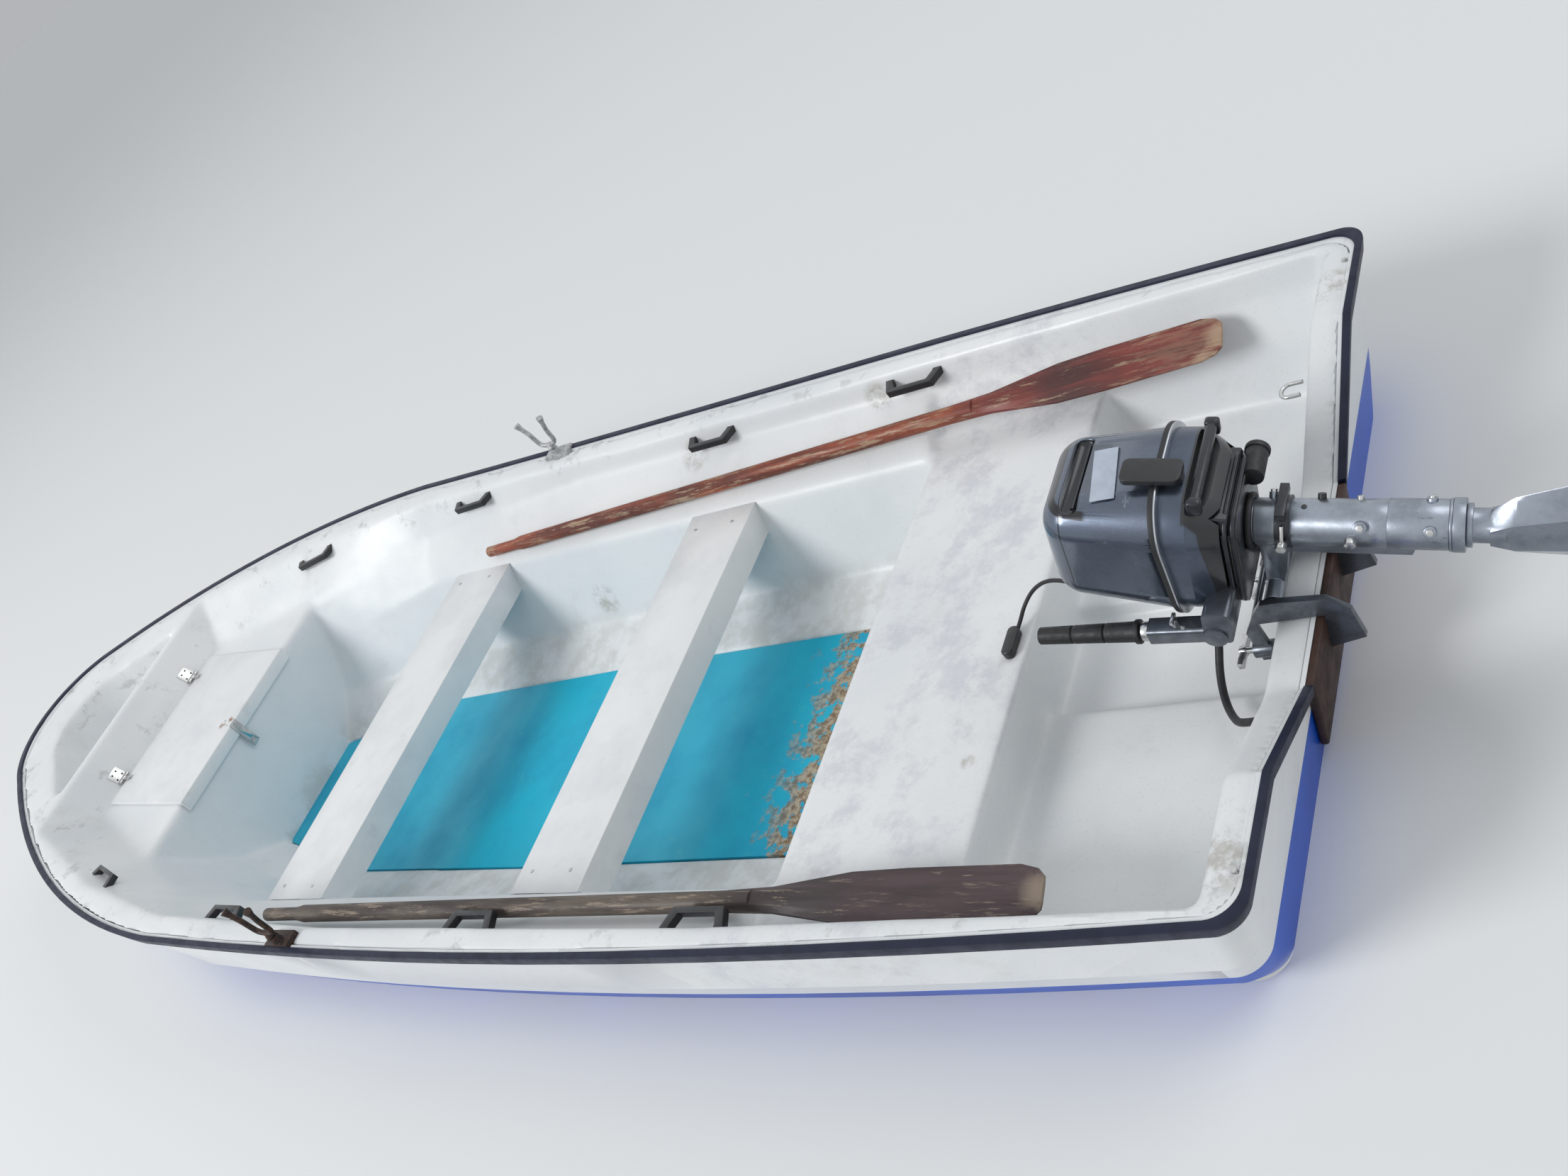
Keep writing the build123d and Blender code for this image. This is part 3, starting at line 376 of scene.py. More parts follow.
def paintedFinish():
    # Smooth brushed white on the thwarts and the lid
    look = paintLook
    finish = Finish("whitePaint", (0.78, 0.80, 0.80), 0.36, 0.0, 0.15)
    cloud = finish.noise(4, 5, 0.65, shift=(2, 0, 0))
    base = finish.mix(finish.steps(cloud, 0.4, 0.7), look["pale"], look["shade"])
    rubbed = finish.steps(finish.noise(11, 6, 0.7), 0.58, 0.75, 0, 0.4)
    base = finish.mix(rubbed, base, look["rubbed"])
    rust = finish.spots(look["rustSpots"]) * finish.steps(finish.noise(90, 4, 0.7), 0.4, 0.6)
    base = finish.mix(rust, base, look["rust"])
    finish.use("Base Color", base)
    finish.bump(finish.noise(70, 3, 0.6, stretch=(1, 0.15, 1)), 0.12, 0.001)
    return finish.material


floorLook = {"fresh": (0.0, 0.47, 0.66), "faded": (0.005, 0.36, 0.56), "chalky": (0.05, 0.55, 0.62),
             "bare": (0.46, 0.38, 0.27), "bareDark": (0.20, 0.13, 0.07), "nearBench": (-0.86, -0.64)}


def turquoiseFinish():
    # Deck paint, flaked off where feet come down from the bench
    look = floorLook
    finish = Finish("turquoiseFloor", (0.0, 0.5, 0.72), 0.42, 0.0, 0.1)
    x = finish.axes()[0]
    cloud = finish.noise(4, 5, 0.6)
    base = finish.mix(finish.steps(cloud, 0.35, 0.7), look["fresh"], look["faded"])
    chalk = finish.steps(finish.noise(15, 6, 0.75), 0.55, 0.75, 0, 0.5)
    base = finish.mix(chalk, base, look["chalky"])
    nearBench = finish.steps(x, *look["nearBench"], 1, 0)
    flakes = finish.steps(finish.noise(22, 6, 0.72, shift=(1, 1, 0)) + nearBench * 0.22, 0.66, 0.69)
    specks = finish.steps(finish.noise(38, 5, 0.7, shift=(5, 0, 0)), 0.70, 0.73)
    worn = (flakes * nearBench).high(specks * 0.7)
    bare = finish.mix(finish.steps(finish.noise(60, 4, 0.7), 0.4, 0.6), look["bare"], look["bareDark"])
    finish.use("Base Color", finish.mix(worn, base, bare))
    finish.use("Roughness", finish.steps(cloud + worn * 0.4, 0.3, 0.9, 0.36, 0.75))
    finish.bump(worn * -1 + finish.noise(120, 2, 0.6) * 0.3, 0.25, 0.0012)
    return finish.material


blueLook = {"bright": (0.0, 0.085, 0.56), "deep": (0.0, 0.06, 0.42), "scratch": (0.12, 0.2, 0.45)}


def blueFinish():
    look = blueLook
    finish = Finish("blueGelcoat", (0.0, 0.07, 0.50), 0.38, 0.0, 0.1, 0.35)
    base = finish.mix(finish.steps(finish.noise(3, 4, 0.6), 0.35, 0.7), look["bright"], look["deep"])
    scratch = finish.steps(finish.noise(9, 5, 0.7, stretch=(0.3, 1, 3)), 0.64, 0.72, 0, 0.4)
    finish.use("Base Color", finish.mix(scratch, base, look["scratch"]))
    return finish.material


# Finishes of one colour with a light grain
plainLooks = {
    "rubNavy": {"colour": (0.008, 0.012, 0.034), "roughness": 0.5, "coat": 0.05, "vary": 0.35, "scale": 25,
                "bump": 0.06, "specular": 0.3},
    "blackPlastic": {"colour": (0.014, 0.014, 0.016), "roughness": 0.42, "coat": 0.1},
    "gripRubber": {"colour": (0.010, 0.010, 0.012), "roughness": 0.55, "vary": 0.3, "scale": 90,
                   "bump": 0.12},
    "stainless": {"colour": (0.58, 0.58, 0.57), "roughness": 0.26, "metallic": 1.0, "vary": 0.2},
    # Near-black painted shade, for screw holes
    "holeShade": {"colour": (0.012, 0.012, 0.012), "roughness": 0.8, "vary": 0.1, "bump": 0},
    "padBrown": {"colour": (0.045, 0.017, 0.009), "roughness": 0.6, "vary": 0.6, "scale": 22, "bump": 0.3},
    "darkPaint": {"colour": (0.022, 0.025, 0.032), "roughness": 0.34, "metallic": 0.5, "coat": 0.3,
                  "vary": 0.3, "scale": 60, "bump": 0.05},
    "graphite": {"colour": (0.125, 0.140, 0.165), "roughness": 0.32, "metallic": 0.75, "coat": 0.25,
                 "vary": 0.3, "scale": 50, "bump": 0.05},
    "blankSticker": {"colour": (0.50, 0.56, 0.66), "roughness": 0.4, "metallic": 0.1, "coat": 0.2,
                     "vary": 0.15, "scale": 30, "bump": 0.05},
}


def plainFinish(name, colour, roughness, metallic=0.0, coat=0.0, vary=0.25, scale=40, bump=0.08,
                specular=0.5):
    finish = Finish(name, colour, roughness, metallic, coat, specular)
    darker = tuple(c * (1 - vary) for c in colour)
    grain = finish.noise(scale, 4, 0.6)
    finish.use("Base Color", finish.mix(finish.steps(grain, 0.35, 0.7), colour, darker))
    finish.use("Roughness", finish.steps(grain, 0.3, 0.75, roughness * 0.85, min(1.0, roughness * 1.2)))
    if bump > 0:
        finish.bump(grain, bump, 0.001)
    return finish.material


redLook = {"shaft": (0.30, 0.062, 0.022), "blade": (0.20, 0.034, 0.024), "dark": (0.060, 0.016, 0.014),
           "bare": (0.48, 0.35, 0.23), "fade": 0.12, "thin": 0.06,
           "tip": (-1.857, -0.607, 0.262), "grip": (0.441, -0.577, 0.223), "blotch": (-1.52, -0.60, 0.26)}
brownLook = {"shaft": (0.115, 0.090, 0.070), "blade": (0.062, 0.036, 0.040), "dark": (0.030, 0.020, 0.020),
             "bare": (0.34, 0.27, 0.20), "fade": 0.02, "thin": 0.05,
             "tip": (-1.765, 0.612, 0.241), "grip": (0.330, 0.673, 0.308), "blotch": (-1.30, 0.62, 0.26)}


def oarFinish(name, look):
    # Old paint: streaks along the oar, pale wear on the blade, bare wood at its tip and at the grip
    finish = Finish(name, look["shaft"], 0.55, 0.0, 0.05)
    tip = look["tip"]
    streak = finish.noise(34, 5, 0.65, stretch=(0.07, 1, 1))
    patch = finish.noise(7, 5, 0.7, stretch=(0.5, 1, 1), shift=(2, 3, 1))
    blade = finish.spot(tip, 0.66, 0.2)
    base = finish.mix(blade, look["shaft"], look["blade"])
    base = finish.mix(finish.steps(streak, 0.38, 0.62, 0, 0.7), base, look["dark"])
    base = finish.mix(finish.steps(patch, 0.46, 0.64, 0, 0.6), base, look["dark"])
    blotch = finish.spot(look["blotch"], 0.13, 0.8) * finish.steps(streak, 0.30, 0.52)
    base = finish.mix(blotch, base, look["dark"])
    fine = finish.noise(75, 6, 0.75, stretch=(0.10, 1, 1), shift=(1, 0, 4))
    outer = finish.spot(tip, 0.34, 0.9)
    worn = finish.steps(fine + outer * look["fade"] + (1 - blade) * look["thin"], 0.57, 0.66)
    broad = finish.steps(finish.noise(9, 4, 0.7, stretch=(0.4, 1, 1), shift=(0, 2, 0)), 0.40, 0.56, 0.25, 1)
    base = finish.mix(worn * broad * 0.75, base, look["bare"])
    frayed = finish.steps(finish.noise(24, 5, 0.7) + finish.spot(tip, 0.045, 0.9) * 0.25, 0.44, 0.58)
    ends = (finish.spot(tip, 0.052, 0.8) * frayed).high(finish.spot(look["grip"], 0.09, 0.6) * frayed * 0.5)
    base = finish.mix(ends * 0.7, base, look["bare"])
    finish.use("Base Color", base)
    finish.use("Roughness", finish.steps(streak, 0.3, 0.7, 0.48, 0.75))
    finish.bump(streak * 0.8 + worn * -0.4, 0.3, 0.0012)
    return finish.material


rowlockLook = {"iron": ((0.030, 0.024, 0.024), (0.085, 0.05, 0.035)),
               "zinc": ((0.50, 0.51, 0.52), (0.30, 0.30, 0.30))}


def rowlockFinish():
    # Rusty dark iron on the port side, pale zinc on the other
    finish = Finish("rowlockMetal", (0.4, 0.4, 0.4), 0.55, 0.7)
    y = finish.axes()[1]
    grain = finish.noise(120, 4, 0.65)
    iron, zinc = (finish.mix(finish.steps(grain, 0.4, 0.65), *rowlockLook[metal])
                  for metal in ("iron", "zinc"))
    finish.use("Base Color", finish.mix(y > 0, zinc, iron))
    finish.use("Roughness", finish.steps(grain, 0.3, 0.7, 0.42, 0.7))
    finish.bump(grain, 0.3, 0.001)
    return finish.material


motorSettings = {"pivot": (-2.040, 0.0, 0.215), "tilt": 73.0, "tiller": (-0.022, 0.140, 0.074), "lean": 9.0}
motorPlace = Matrix.Translation(motorSettings["pivot"])
motorPlace = motorPlace @ Matrix.Rotation(math.radians(motorSettings["tilt"]), 4, "Y")
tillerPlace = motorPlace @ Matrix.Translation(motorSettings["tiller"])
tillerPlace = tillerPlace @ Matrix.Rotation(math.radians(motorSettings["lean"]), 4, "Y")


def motorAxes(finish):
    # Height above the tilt pin along the tipped motor, the distance to its rear, and across
    x, y, z = finish.axes()
    turn = math.radians(motorSettings["tilt"])
    along, down = math.cos(turn), math.sin(turn)
    dx, dz = x - motorSettings["pivot"][0], z - motorSettings["pivot"][2]
    return dx * down + dz * along, dx * along - dz * down, y


# Places in the motor's own upright frame: heights over the tilt pin, and rear as a negative distance
cowlLook = {
    "bright": (0.095, 0.118, 0.165), "deep": (0.070, 0.086, 0.120), "flake": (0.16, 0.19, 0.25),
    "scratch": (0.25, 0.28, 0.33), "grooveAndShade": (0.008, 0.009, 0.012), "slot": (0.010, 0.011, 0.014),
    "grooveSlope": 0.03, "grooveLow": (0.3005, 0.3015), "grooveHigh": (0.3030, 0.3040),
    "slotRear": (-0.2365, -0.2345), "slotFront": (-0.2260, -0.2250), "slotHalf": (0.096, 0.100),
    "slotLow": (0.26, 0.27),
}
panLook = {"black": (0.013, 0.014, 0.017), "edge": (0.066, 0.069), "recessHalf": (0.106, 0.110),
           "recessRear": (-0.215, -0.205), "recessTop": (0.108, 0.111)}
seamLook = {"rubber": (0.012, 0.012, 0.014), "bright": (0.50, 0.52, 0.55), "slope": 0.0963, "level": 0.129,
            "line": (-0.0036, -0.0030)}


def cowlFinish():
    look = cowlLook
    finish = Finish("cowlPaint", (0.085, 0.105, 0.145), 0.26, 0.75, 0.7)
    height, rear, y = motorAxes(finish)
    flake = finish.noise(700, 2, 0.5)
    cloud = finish.noise(9, 5, 0.65)
    base = finish.mix(finish.steps(cloud, 0.35, 0.7), look["bright"], look["deep"])
    base = finish.mix(finish.steps(flake, 0.5, 0.7, 0, 0.35), base, look["flake"])
    scratch = finish.steps(finish.noise(28, 6, 0.75, stretch=(1, 0.12, 1)), 0.67, 0.70, 0, 0.5)
    base = finish.mix(scratch, base, look["scratch"])
    # Painted shade along the groove round the cover: a near-black line, pressed in by the bump
    grooveAndShade = finish.between(height + rear * look["grooveSlope"], look["grooveLow"], look["grooveHigh"])
    base = finish.mix(grooveAndShade * 0.9, base, look["grooveAndShade"])
    # Painted shade inside the hand recess: its inner faces are coloured near black
    slot = finish.between(rear, look["slotRear"], look["slotFront"]) * finish.steps(height, *look["slotLow"])
    slot = slot * finish.steps(y.high(y * -1), *look["slotHalf"], 1, 0)
    finish.use("Base Color", finish.mix(slot, base, look["slot"]))
    finish.use("Roughness", finish.steps(cloud + scratch * 0.4, 0.3, 0.8, 0.22, 0.42))
    finish.bump(grooveAndShade * -1, 0.4, 0.001)
    return finish.material


def panFinish():
    # Metallic paint below the seam, bare black moulding under it and round the carrying handle
    look = panLook
    finish = Finish("panPaint", (0.02, 0.022, 0.026), 0.35, 0.5, 0.3)
    height, rear, y = motorAxes(finish)
    cloud = finish.noise(9, 5, 0.65)
    painted = finish.mix(finish.steps(cloud, 0.35, 0.7), cowlLook["bright"], cowlLook["deep"])
    recess = finish.steps(y.high(y * -1), *look["recessHalf"], 1, 0)
    recess = recess * finish.steps(rear, *look["recessRear"], 1, 0)
    recess = recess * finish.steps(height, *look["recessTop"], 1, 0)
    upper = finish.steps(height + rear * seamLook["slope"], *look["edge"]) * (1 - recess)
    finish.use("Base Color", finish.mix(upper, look["black"], painted))
    finish.use("Metallic", upper * 0.7)
    finish.use("Roughness", finish.steps(cloud, 0.3, 0.8, 0.24, 0.42))
    return finish.material


def seamFinish():
    # Rubber band with a bright line along its lower edge
    look = seamLook
    finish = Finish("seamRubber", look["rubber"], 0.5)
    height, rear = motorAxes(finish)[:2]
    line = finish.steps(height + rear * look["slope"] - look["level"], *look["line"], 1, 0)
    finish.use("Base Color", finish.mix(line, look["rubber"], look["bright"]))
    finish.use("Metallic", line * 0.9)
    finish.use("Roughness", finish.steps(line, 0, 1, 0.55, 0.25))
    return finish.material


tubeLook = {"bright": (0.32, 0.35, 0.40), "deep": (0.20, 0.225, 0.26), "scuff": (0.09, 0.10, 0.11)}


def tubeFinish():
    # Silver paint, scuffed and oily along the tube
    look = tubeLook
    finish = Finish("silverPaint", (0.28, 0.31, 0.35), 0.32, 0.8, 0.15)
    cloud = finish.noise(16, 5, 0.65)
    base = finish.mix(finish.steps(cloud, 0.35, 0.7), look["bright"], look["deep"])
    scuff = finish.steps(finish.noise(45, 6, 0.75, stretch=(0.4, 1, 1)), 0.62, 0.70, 0, 0.6)
    finish.use("Base Color", finish.mix(scuff, base, look["scuff"]))
    finish.use("Roughness", finish.steps(cloud, 0.3, 0.7, 0.25, 0.45))
    finish.bump(finish.noise(160, 3, 0.6), 0.08, 0.001)
    return finish.material


white = whiteFinish()
paint = paintedFinish()
turquoise = turquoiseFinish()
blue = blueFinish()
rubNavy = plainFinish("rubNavy", **plainLooks["rubNavy"])
blackPlastic = plainFinish("blackPlastic", **plainLooks["blackPlastic"])
gripRubber = plainFinish("gripRubber", **plainLooks["gripRubber"])
stainless = plainFinish("stainless", **plainLooks["stainless"])
holeShade = plainFinish("holeShade", **plainLooks["holeShade"])
rowlockMetal = rowlockFinish()
oarRed = oarFinish("oarRed", redLook)
oarBrown = oarFinish("oarBrown", brownLook)
padBrown = plainFinish("padBrown", **plainLooks["padBrown"])
cowlPaint = cowlFinish()
panPaint = panFinish()
seamRubber = seamFinish()
darkPaint = plainFinish("darkPaint", **plainLooks["darkPaint"])
graphite = plainFinish("graphite", **plainLooks["graphite"])
silverPaint = tubeFinish()
blankSticker = plainFinish("blankSticker", **plainLooks["blankSticker"])
print("finishes ready")

linerNodes = ["side_liner_port", "side_liner_starboard", "stern_bench", "stern_well", "bow_locker",
              "foredeck"]
linerSettings = {"grain": 0.009, "clear": (0.014, 0.030), "strength": 0.5, "passes": 14, "keep": 0.26,
                 "smooth": 40}


def skinTree(names):
    # The given nodes' surfaces, for finding the nearest place on the hull
    corners = []
    faces = []
    for name in names:
        mesh = nodes[name].data
        shift = len(corners)
        corners += [vertex.co.copy() for vertex in mesh.vertices]
        faces += [tuple(index + shift for index in face.vertices) for face in mesh.polygons]
    return BVHTree.FromPolygons(corners, faces)


def roundLiner(piece):
    # Wide soft corners on all that shows of the moulding, none where it meets the skin
    applyModifier(piece, "REMESH", mode="VOXEL", voxel_size=linerSettings["grain"], use_smooth_shade=True)
    hull = skinTree(["topside_port", "topside_starboard", "transom_upper", "transom_lower",
                     "bilge_port", "bilge_starboard", "hull_bottom"])
    group = piece.vertex_groups.new(name="soft")
    near, far = linerSettings["clear"]
    for vertex in piece.data.vertices:
        distance = (hull.find_nearest(vertex.co)[0] - vertex.co).length
        share = min(1.0, max(0.0, (distance - near) / (far - near)))
        if share > 0:
            group.add([vertex.index], share, "REPLACE")
    applyModifier(piece, "SMOOTH", factor=linerSettings["strength"], iterations=linerSettings["passes"],
                  vertex_group="soft")
    applyModifier(piece, "DECIMATE", decimate_type="COLLAPSE", ratio=linerSettings["keep"])
    softEdges(piece, 0, smooth=linerSettings["smooth"])
    print("liner faces", len(piece.data.polygons))


liner = dress("liner", linerNodes, 0.0, white)
roundLiner(liner)
print("liner ready")

rubSettings = {"reach": 0.68, "depth": 0.72, "skin": 0.012, "flat": 0.018, "lip": 0.005, "transom": -2.0,
               "notch": (0.22, 0.48, 0.182, 0.330), "levelTo": -0.960, "sheerRadius": 32.7,
               "round": 0.006, "segments": 3, "angle": 40}


def sheerHeight(x, y):
    # Top of the rub strip: level aft, a wide arc ahead, and sunk at the transom's notch
    low, high, base, top = rubSettings["notch"]
    if x < rubSettings["transom"] and abs(y) < high:
        return base + (top - base) * max(0, abs(y) - low) / (high - low) + rubSettings["lip"]
    ahead, radius = max(0.0, x - rubSettings["levelTo"]), rubSettings["sheerRadius"]
    return top + radius - math.sqrt(radius ** 2 - ahead ** 2) + rubSettings["lip"]


def slimRub(piece):
    # Bring the strip closer to the hull than its solid, which keeps the collision outline
    hull = skinTree(["topside_port", "topside_starboard", "transom_upper"])
    for vertex in piece.data.vertices:
        top = sheerHeight(vertex.co.x, vertex.co.y)
        near = hull.find_nearest(vertex.co)[0]
        if (near - vertex.co).length > rubSettings["skin"]:
            vertex.co.x = near.x + (vertex.co.x - near.x) * rubSettings["reach"]
            vertex.co.y = near.y + (vertex.co.y - near.y) * rubSettings["reach"]
        if vertex.co.z < top - rubSettings["flat"]:
            vertex.co.z = top - (top - vertex.co.z) * rubSettings["depth"]


def rubStrip():
    pieces = [copyOfNode("rub_strip_port"), copyOfNode("rub_strip_starboard")]
    piece = unite(pieces[0], pieces[1:])
    piece.name = "rubStrip"
    slimRub(piece)
    softEdges(piece, rubSettings["round"], rubSettings["segments"], rubSettings["angle"])
    piece.data.materials.append(rubNavy)
    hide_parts("rub_strip_port", "rub_strip_starboard")
    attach(piece, "boat")


dress("hullUpper", ["topside_port", "topside_starboard", "transom_upper"], 0.0, white, smooth=20, flat=0.02)
dress("hullLower", ["bilge_port", "bilge_starboard", "hull_bottom", "transom_lower"], 0.0, blue, flat=0.02)
rubStrip()
dress("floorPanel", ["floor"], 0.0, turquoise)
for name in ("thwart_forward", "thwart_aft"):
    dress(name + "Piece", [name], 0.007, paint, segments=3)
dress("grabHandles", ["grab_handles"], 0.005, blackPlastic, segments=3)
dress("lockerLid", ["locker_lid"], 0.004, paint, "lid", segments=3)
dress("lidHinges", ["lid_hinges"], 0.0006, stainless)
dress("lidFittings", ["lid_fittings"], 0.0006, stainless, "lid")
dress("rowlockSockets", ["rowlock_sockets"], 0.003, rowlockMetal)
dress("rowlockPort", ["rowlock_port"], 0.0, rowlockMetal, "rowlock_port", smooth=50)
dress("rowlockStarboard", ["rowlock_starboard"], 0.0, rowlockMetal, "rowlock_starboard", smooth=50)
dress("oarPort", ["oar_port"], 0.003, oarBrown, segments=3, smooth=50)
dress("oarStarboard", ["oar_starboard"], 0.003, oarRed, segments=3, smooth=50)
dress("mooringEyes", ["mooring_eyes"], 0.0, stainless, smooth=60)
dress("motorPad", ["motor_pad"], 0.004, padBrown)
print("boat fittings ready")

# Round screw heads on the ends of the thwarts and in the stern corners of the flange
screwSettings = {"radius": 0.0055, "height": 0.0022, "sink": 0.004, "taper": 0.8, "sides": 16,
                 "thwartEnds": ((0.585, 0.515), (0.450, 0.518), (-0.410, 0.500), (-0.537, 0.500)),
                 "thwartTop": 0.182, "flange": (-2.118, 0.637, 0.330)}


def screwHead(place, facing, radius=screwSettings["radius"], height=screwSettings["height"]):
    place, facing = Vector(place), Vector(facing).normalized()
    foot = place - facing * screwSettings["sink"]
    tip = radius * screwSettings["taper"]
    return barBetween(foot, place + facing * height, radius, tip, screwSettings["sides"])


flangeX, flangeY, flangeZ = screwSettings["flange"]
thwartScrews = [(x, side * y, screwSettings["thwartTop"])
                for x, y in screwSettings["thwartEnds"] for side in (1, -1)]
flangeScrews = [(flangeX, side * flangeY, flangeZ) for side in (1, -1)]
heads = [screwHead(place, (0, 0, 1)) for place in thwartScrews + flangeScrews]
gather("hullScrews", heads, 0.0004, stainless, "boat")

# Screw holes in the hinge plates on the leaning riser, drawn as thin near-black discs of painted shade: each
# one's place across and up its plate
hingeSettings = {"foot": (1.620, 0, 0.314), "lean": (0.061, 0.129), "middles": (-0.197, 0.197),
                 "holes": ((-0.012, 0.026), (0.012, 0.026), (-0.009, 0.046), (0.009, 0.046)),
                 "proud": 0.003, "radius": 0.0036, "height": 0.0006}


def hingeHoles():
    look = hingeSettings
    lean = math.atan2(*look["lean"])
    out, up = Vector((-math.cos(lean), 0, math.sin(lean))), Vector((math.sin(lean), 0, math.cos(lean)))
    holes = []
    for y in look["middles"]:
        for across, rise in look["holes"]:
            place = Vector(look["foot"]) + up * rise + out * look["proud"] + Vector((0, y + across, 0))
            holes.append(screwHead(place, out, look["radius"], look["height"]))
    return holes


gather("hingeHoleShades", hingeHoles(), 0.0, holeShade, "boat")

# Rivets of the hasp: four on the sloping lid and two on its front face
rivetSettings = {"x": (1.245, 1.268), "y": (-0.009, 0.009), "start": 1.235, "level": 0.2902,
                 "slope": 0.096, "top": (0.0036, 0.0012), "face": 1.220, "faceHeights": (0.2835, 0.262),
                 "front": (0.0042, 0.0012)}


def lidRivets():
    look = rivetSettings
    rivets = []
    for x in look["x"]:
        height = look["level"] + (x - look["start"]) * look["slope"]
        rivets += [screwHead((x, y, height), (-0.1, 0, 1), *look["top"]) for y in look["y"]]
    return rivets + [screwHead((look["face"], 0, z), (-1, 0, 0), *look["front"]) for z in look["faceHeights"]]


gather("lidRivets", lidRivets(), 0.0, stainless, "lid")

tipSettings = {"x": 0.125, "y": 0.768, "half": 0.050, "z": 0.482, "length": 0.018, "radius": 0.0065,
               "flare": 0.0105, "proud": 0.002, "way": (0.33, 0.944),
               "collar": (0.3775, 0.386, 0.0125, 0.0105)}


def rowlockTips(side, body):
    # Flared ends of the horns and the collar round the neck
    pieces = []
    y = side * tipSettings["y"]
    lean, rise = tipSettings["way"]
    for hand in (1, -1):
        end = Vector((tipSettings["x"] + hand * tipSettings["half"], y, tipSettings["z"]))
        way = Vector((hand * lean, 0, rise))
        start = end - way * tipSettings["length"]
        end += way * tipSettings["proud"]
        pieces.append(barBetween(start, end, tipSettings["radius"], tipSettings["flare"]))
    low, high, wide, narrow = tipSettings["collar"]
    pieces.append(barBetween((tipSettings["x"], y, low), (tipSettings["x"], y, high), wide, narrow))
    label = "rowlockTips" + ("Port" if side > 0 else "Starboard")
    gather(label, pieces, 0.001, rowlockMetal, body, smooth=50)


rowlockTips(1, "rowlock_port")
rowlockTips(-1, "rowlock_starboard")
print("small fittings ready")

recessSettings = {"rear": -0.300, "floor": -0.2275, "sides": (-0.076, 0.094), "heights": (0.277, 0.309),
                  "corner": 0.013, "barRear": -0.2335, "barHeight": 0.286, "barEnd": 0.014,
                  "barRadius": 0.0035, "smooth": 50}


def handRecess(cowl):
    # Deepen the hand recess of the cover, with a bar across its inside
    rear, floor = recessSettings["rear"], recessSettings["floor"]
    left, right = recessSettings["sides"]
    low, high = recessSettings["heights"]
    size = (floor - rear, right - left, high - low)
    cutter = slab(size, ((rear + floor) / 2, (left + right) / 2, (low + high) / 2))
    applyModifier(cutter, "BEVEL", width=recessSettings["corner"], segments=4, limit_method="ANGLE")
    cutter.data.transform(motorPlace)
    applyModifier(cowl, "BOOLEAN", operation="DIFFERENCE", solver="EXACT", object=cutter)
    bpy.data.objects.remove(cutter, do_unlink=True)
    softEdges(cowl, 0, smooth=recessSettings["smooth"])
    rear, height, end = (recessSettings[key] for key in ("barRear", "barHeight", "barEnd"))
    bar = barBetween((rear, left + end, height), (rear, right - end, height),
                     recessSettings["barRadius"])
    gather("recessBar", [bar], 0.0, darkPaint, "outboard", motorPlace)


dress("clampBracket", ["clamp_bracket"], 0.005, graphite, segments=3)
dress("clampScrews", ["clamp_screws"], 0.001, stainless)
dress("swivelTube", ["swivel_tube"], 0.002, silverPaint, "outboard_swivel")
dress("frictionClamp", ["friction_clamp"], 0.002, darkPaint, "outboard_swivel")
dress("legPiece", ["leg"], 0.003, silverPaint, "outboard")
dress("gearcasePiece", ["gearcase"], 0.003, silverPaint, "outboard", smooth=40)
dress("propellerPiece", ["propeller"], 0.001, darkPaint, "propeller")
dress("powerheadPiece", ["powerhead"], 0.004, darkPaint, "outboard")
dress("lowerCowl", ["lower_cowl"], 0.006, panPaint, "outboard", segments=3, smooth=45)
dress("seamBand", ["seam_band"], 0.0012, seamRubber, "outboard", smooth=45)
cowl = dress("upperCowl", ["upper_cowl"], 0.0, cowlPaint, "outboard", smooth=50)
handRecess(cowl)
dress("rearHandle", ["rear_handle"], 0.006, darkPaint, "outboard", segments=3)
dress("latchLever", ["latch_lever"], 0.004, blackPlastic, "outboard", segments=3)
dress("tillerArm", ["tiller_arm"], 0.004, graphite, "outboard", segments=3)
dress("tillerGrip", ["tiller_grip"], 0.0012, gripRubber, "outboard")

# The tube's axis and skin in the motor's own upright frame
tubeSettings = {"axis": (-0.127, 0.0), "skin": 0.038, "sink": 0.004, "taper": 0.92}
# Rings round the tube and the boot above them: inner and outer radius, lower and upper height
ringRows = [(0.0372, 0.0396, -0.262, -0.176), (0.0372, 0.0386, -0.176, -0.150),
            (0.0372, 0.0412, -0.2665, -0.2625)]
bootRow = (0.0355, 0.047, 0.0235, 0.033)
# Lugs, bolts and plugs on the tube: angle, height, radius, rise and, for bolts, the number of sides
lugRows = [(53, -0.138, 0.011, 0.007), (59, -0.237, 0.010, 0.006), (-27, -0.237, 0.009, 0.006),
           (-40, -0.005, 0.008, 0.010)]
boltRows = [(53, -0.138, 0.0065, 0.011, 6), (59, -0.237, 0.006, 0.009, 16), (-27, -0.237, 0.005, 0.009, 16),
            (88, -0.124, 0.010, 0.012, 6), (-40, -0.005, 0.006, 0.014, 6), (-33, -0.135, 0.006, 0.006, 6)]
plugRows = [(4, -0.054, 0.005, 0.0006), (-33, -0.078, 0.007, 0.009)]
linkSettings = {"start": (-0.160, 0.040, -0.024), "end": (-0.128, 0.054, -0.023), "radius": 0.0035,
                "nut": ((-0.128, 0.050, -0.023), (-0.128, 0.062, -0.023)), "nutRadius": 0.009}


def onTube(angle, height, out):
    # A place around the tube: angle from its upper side towards port
    turn = math.radians(angle)
    x, y = tubeSettings["axis"]
    way = Vector((-math.cos(turn), math.sin(turn), 0))
    return Vector((x, y, height)) + way * (tubeSettings["skin"] + out), way


def tubeLug(angle, height, radius, rise, sides=24):
    place, way = onTube(angle, height, rise)
    foot = place - way * (rise + tubeSettings["sink"])
    return barBetween(foot, place, radius, radius * tubeSettings["taper"], sides)


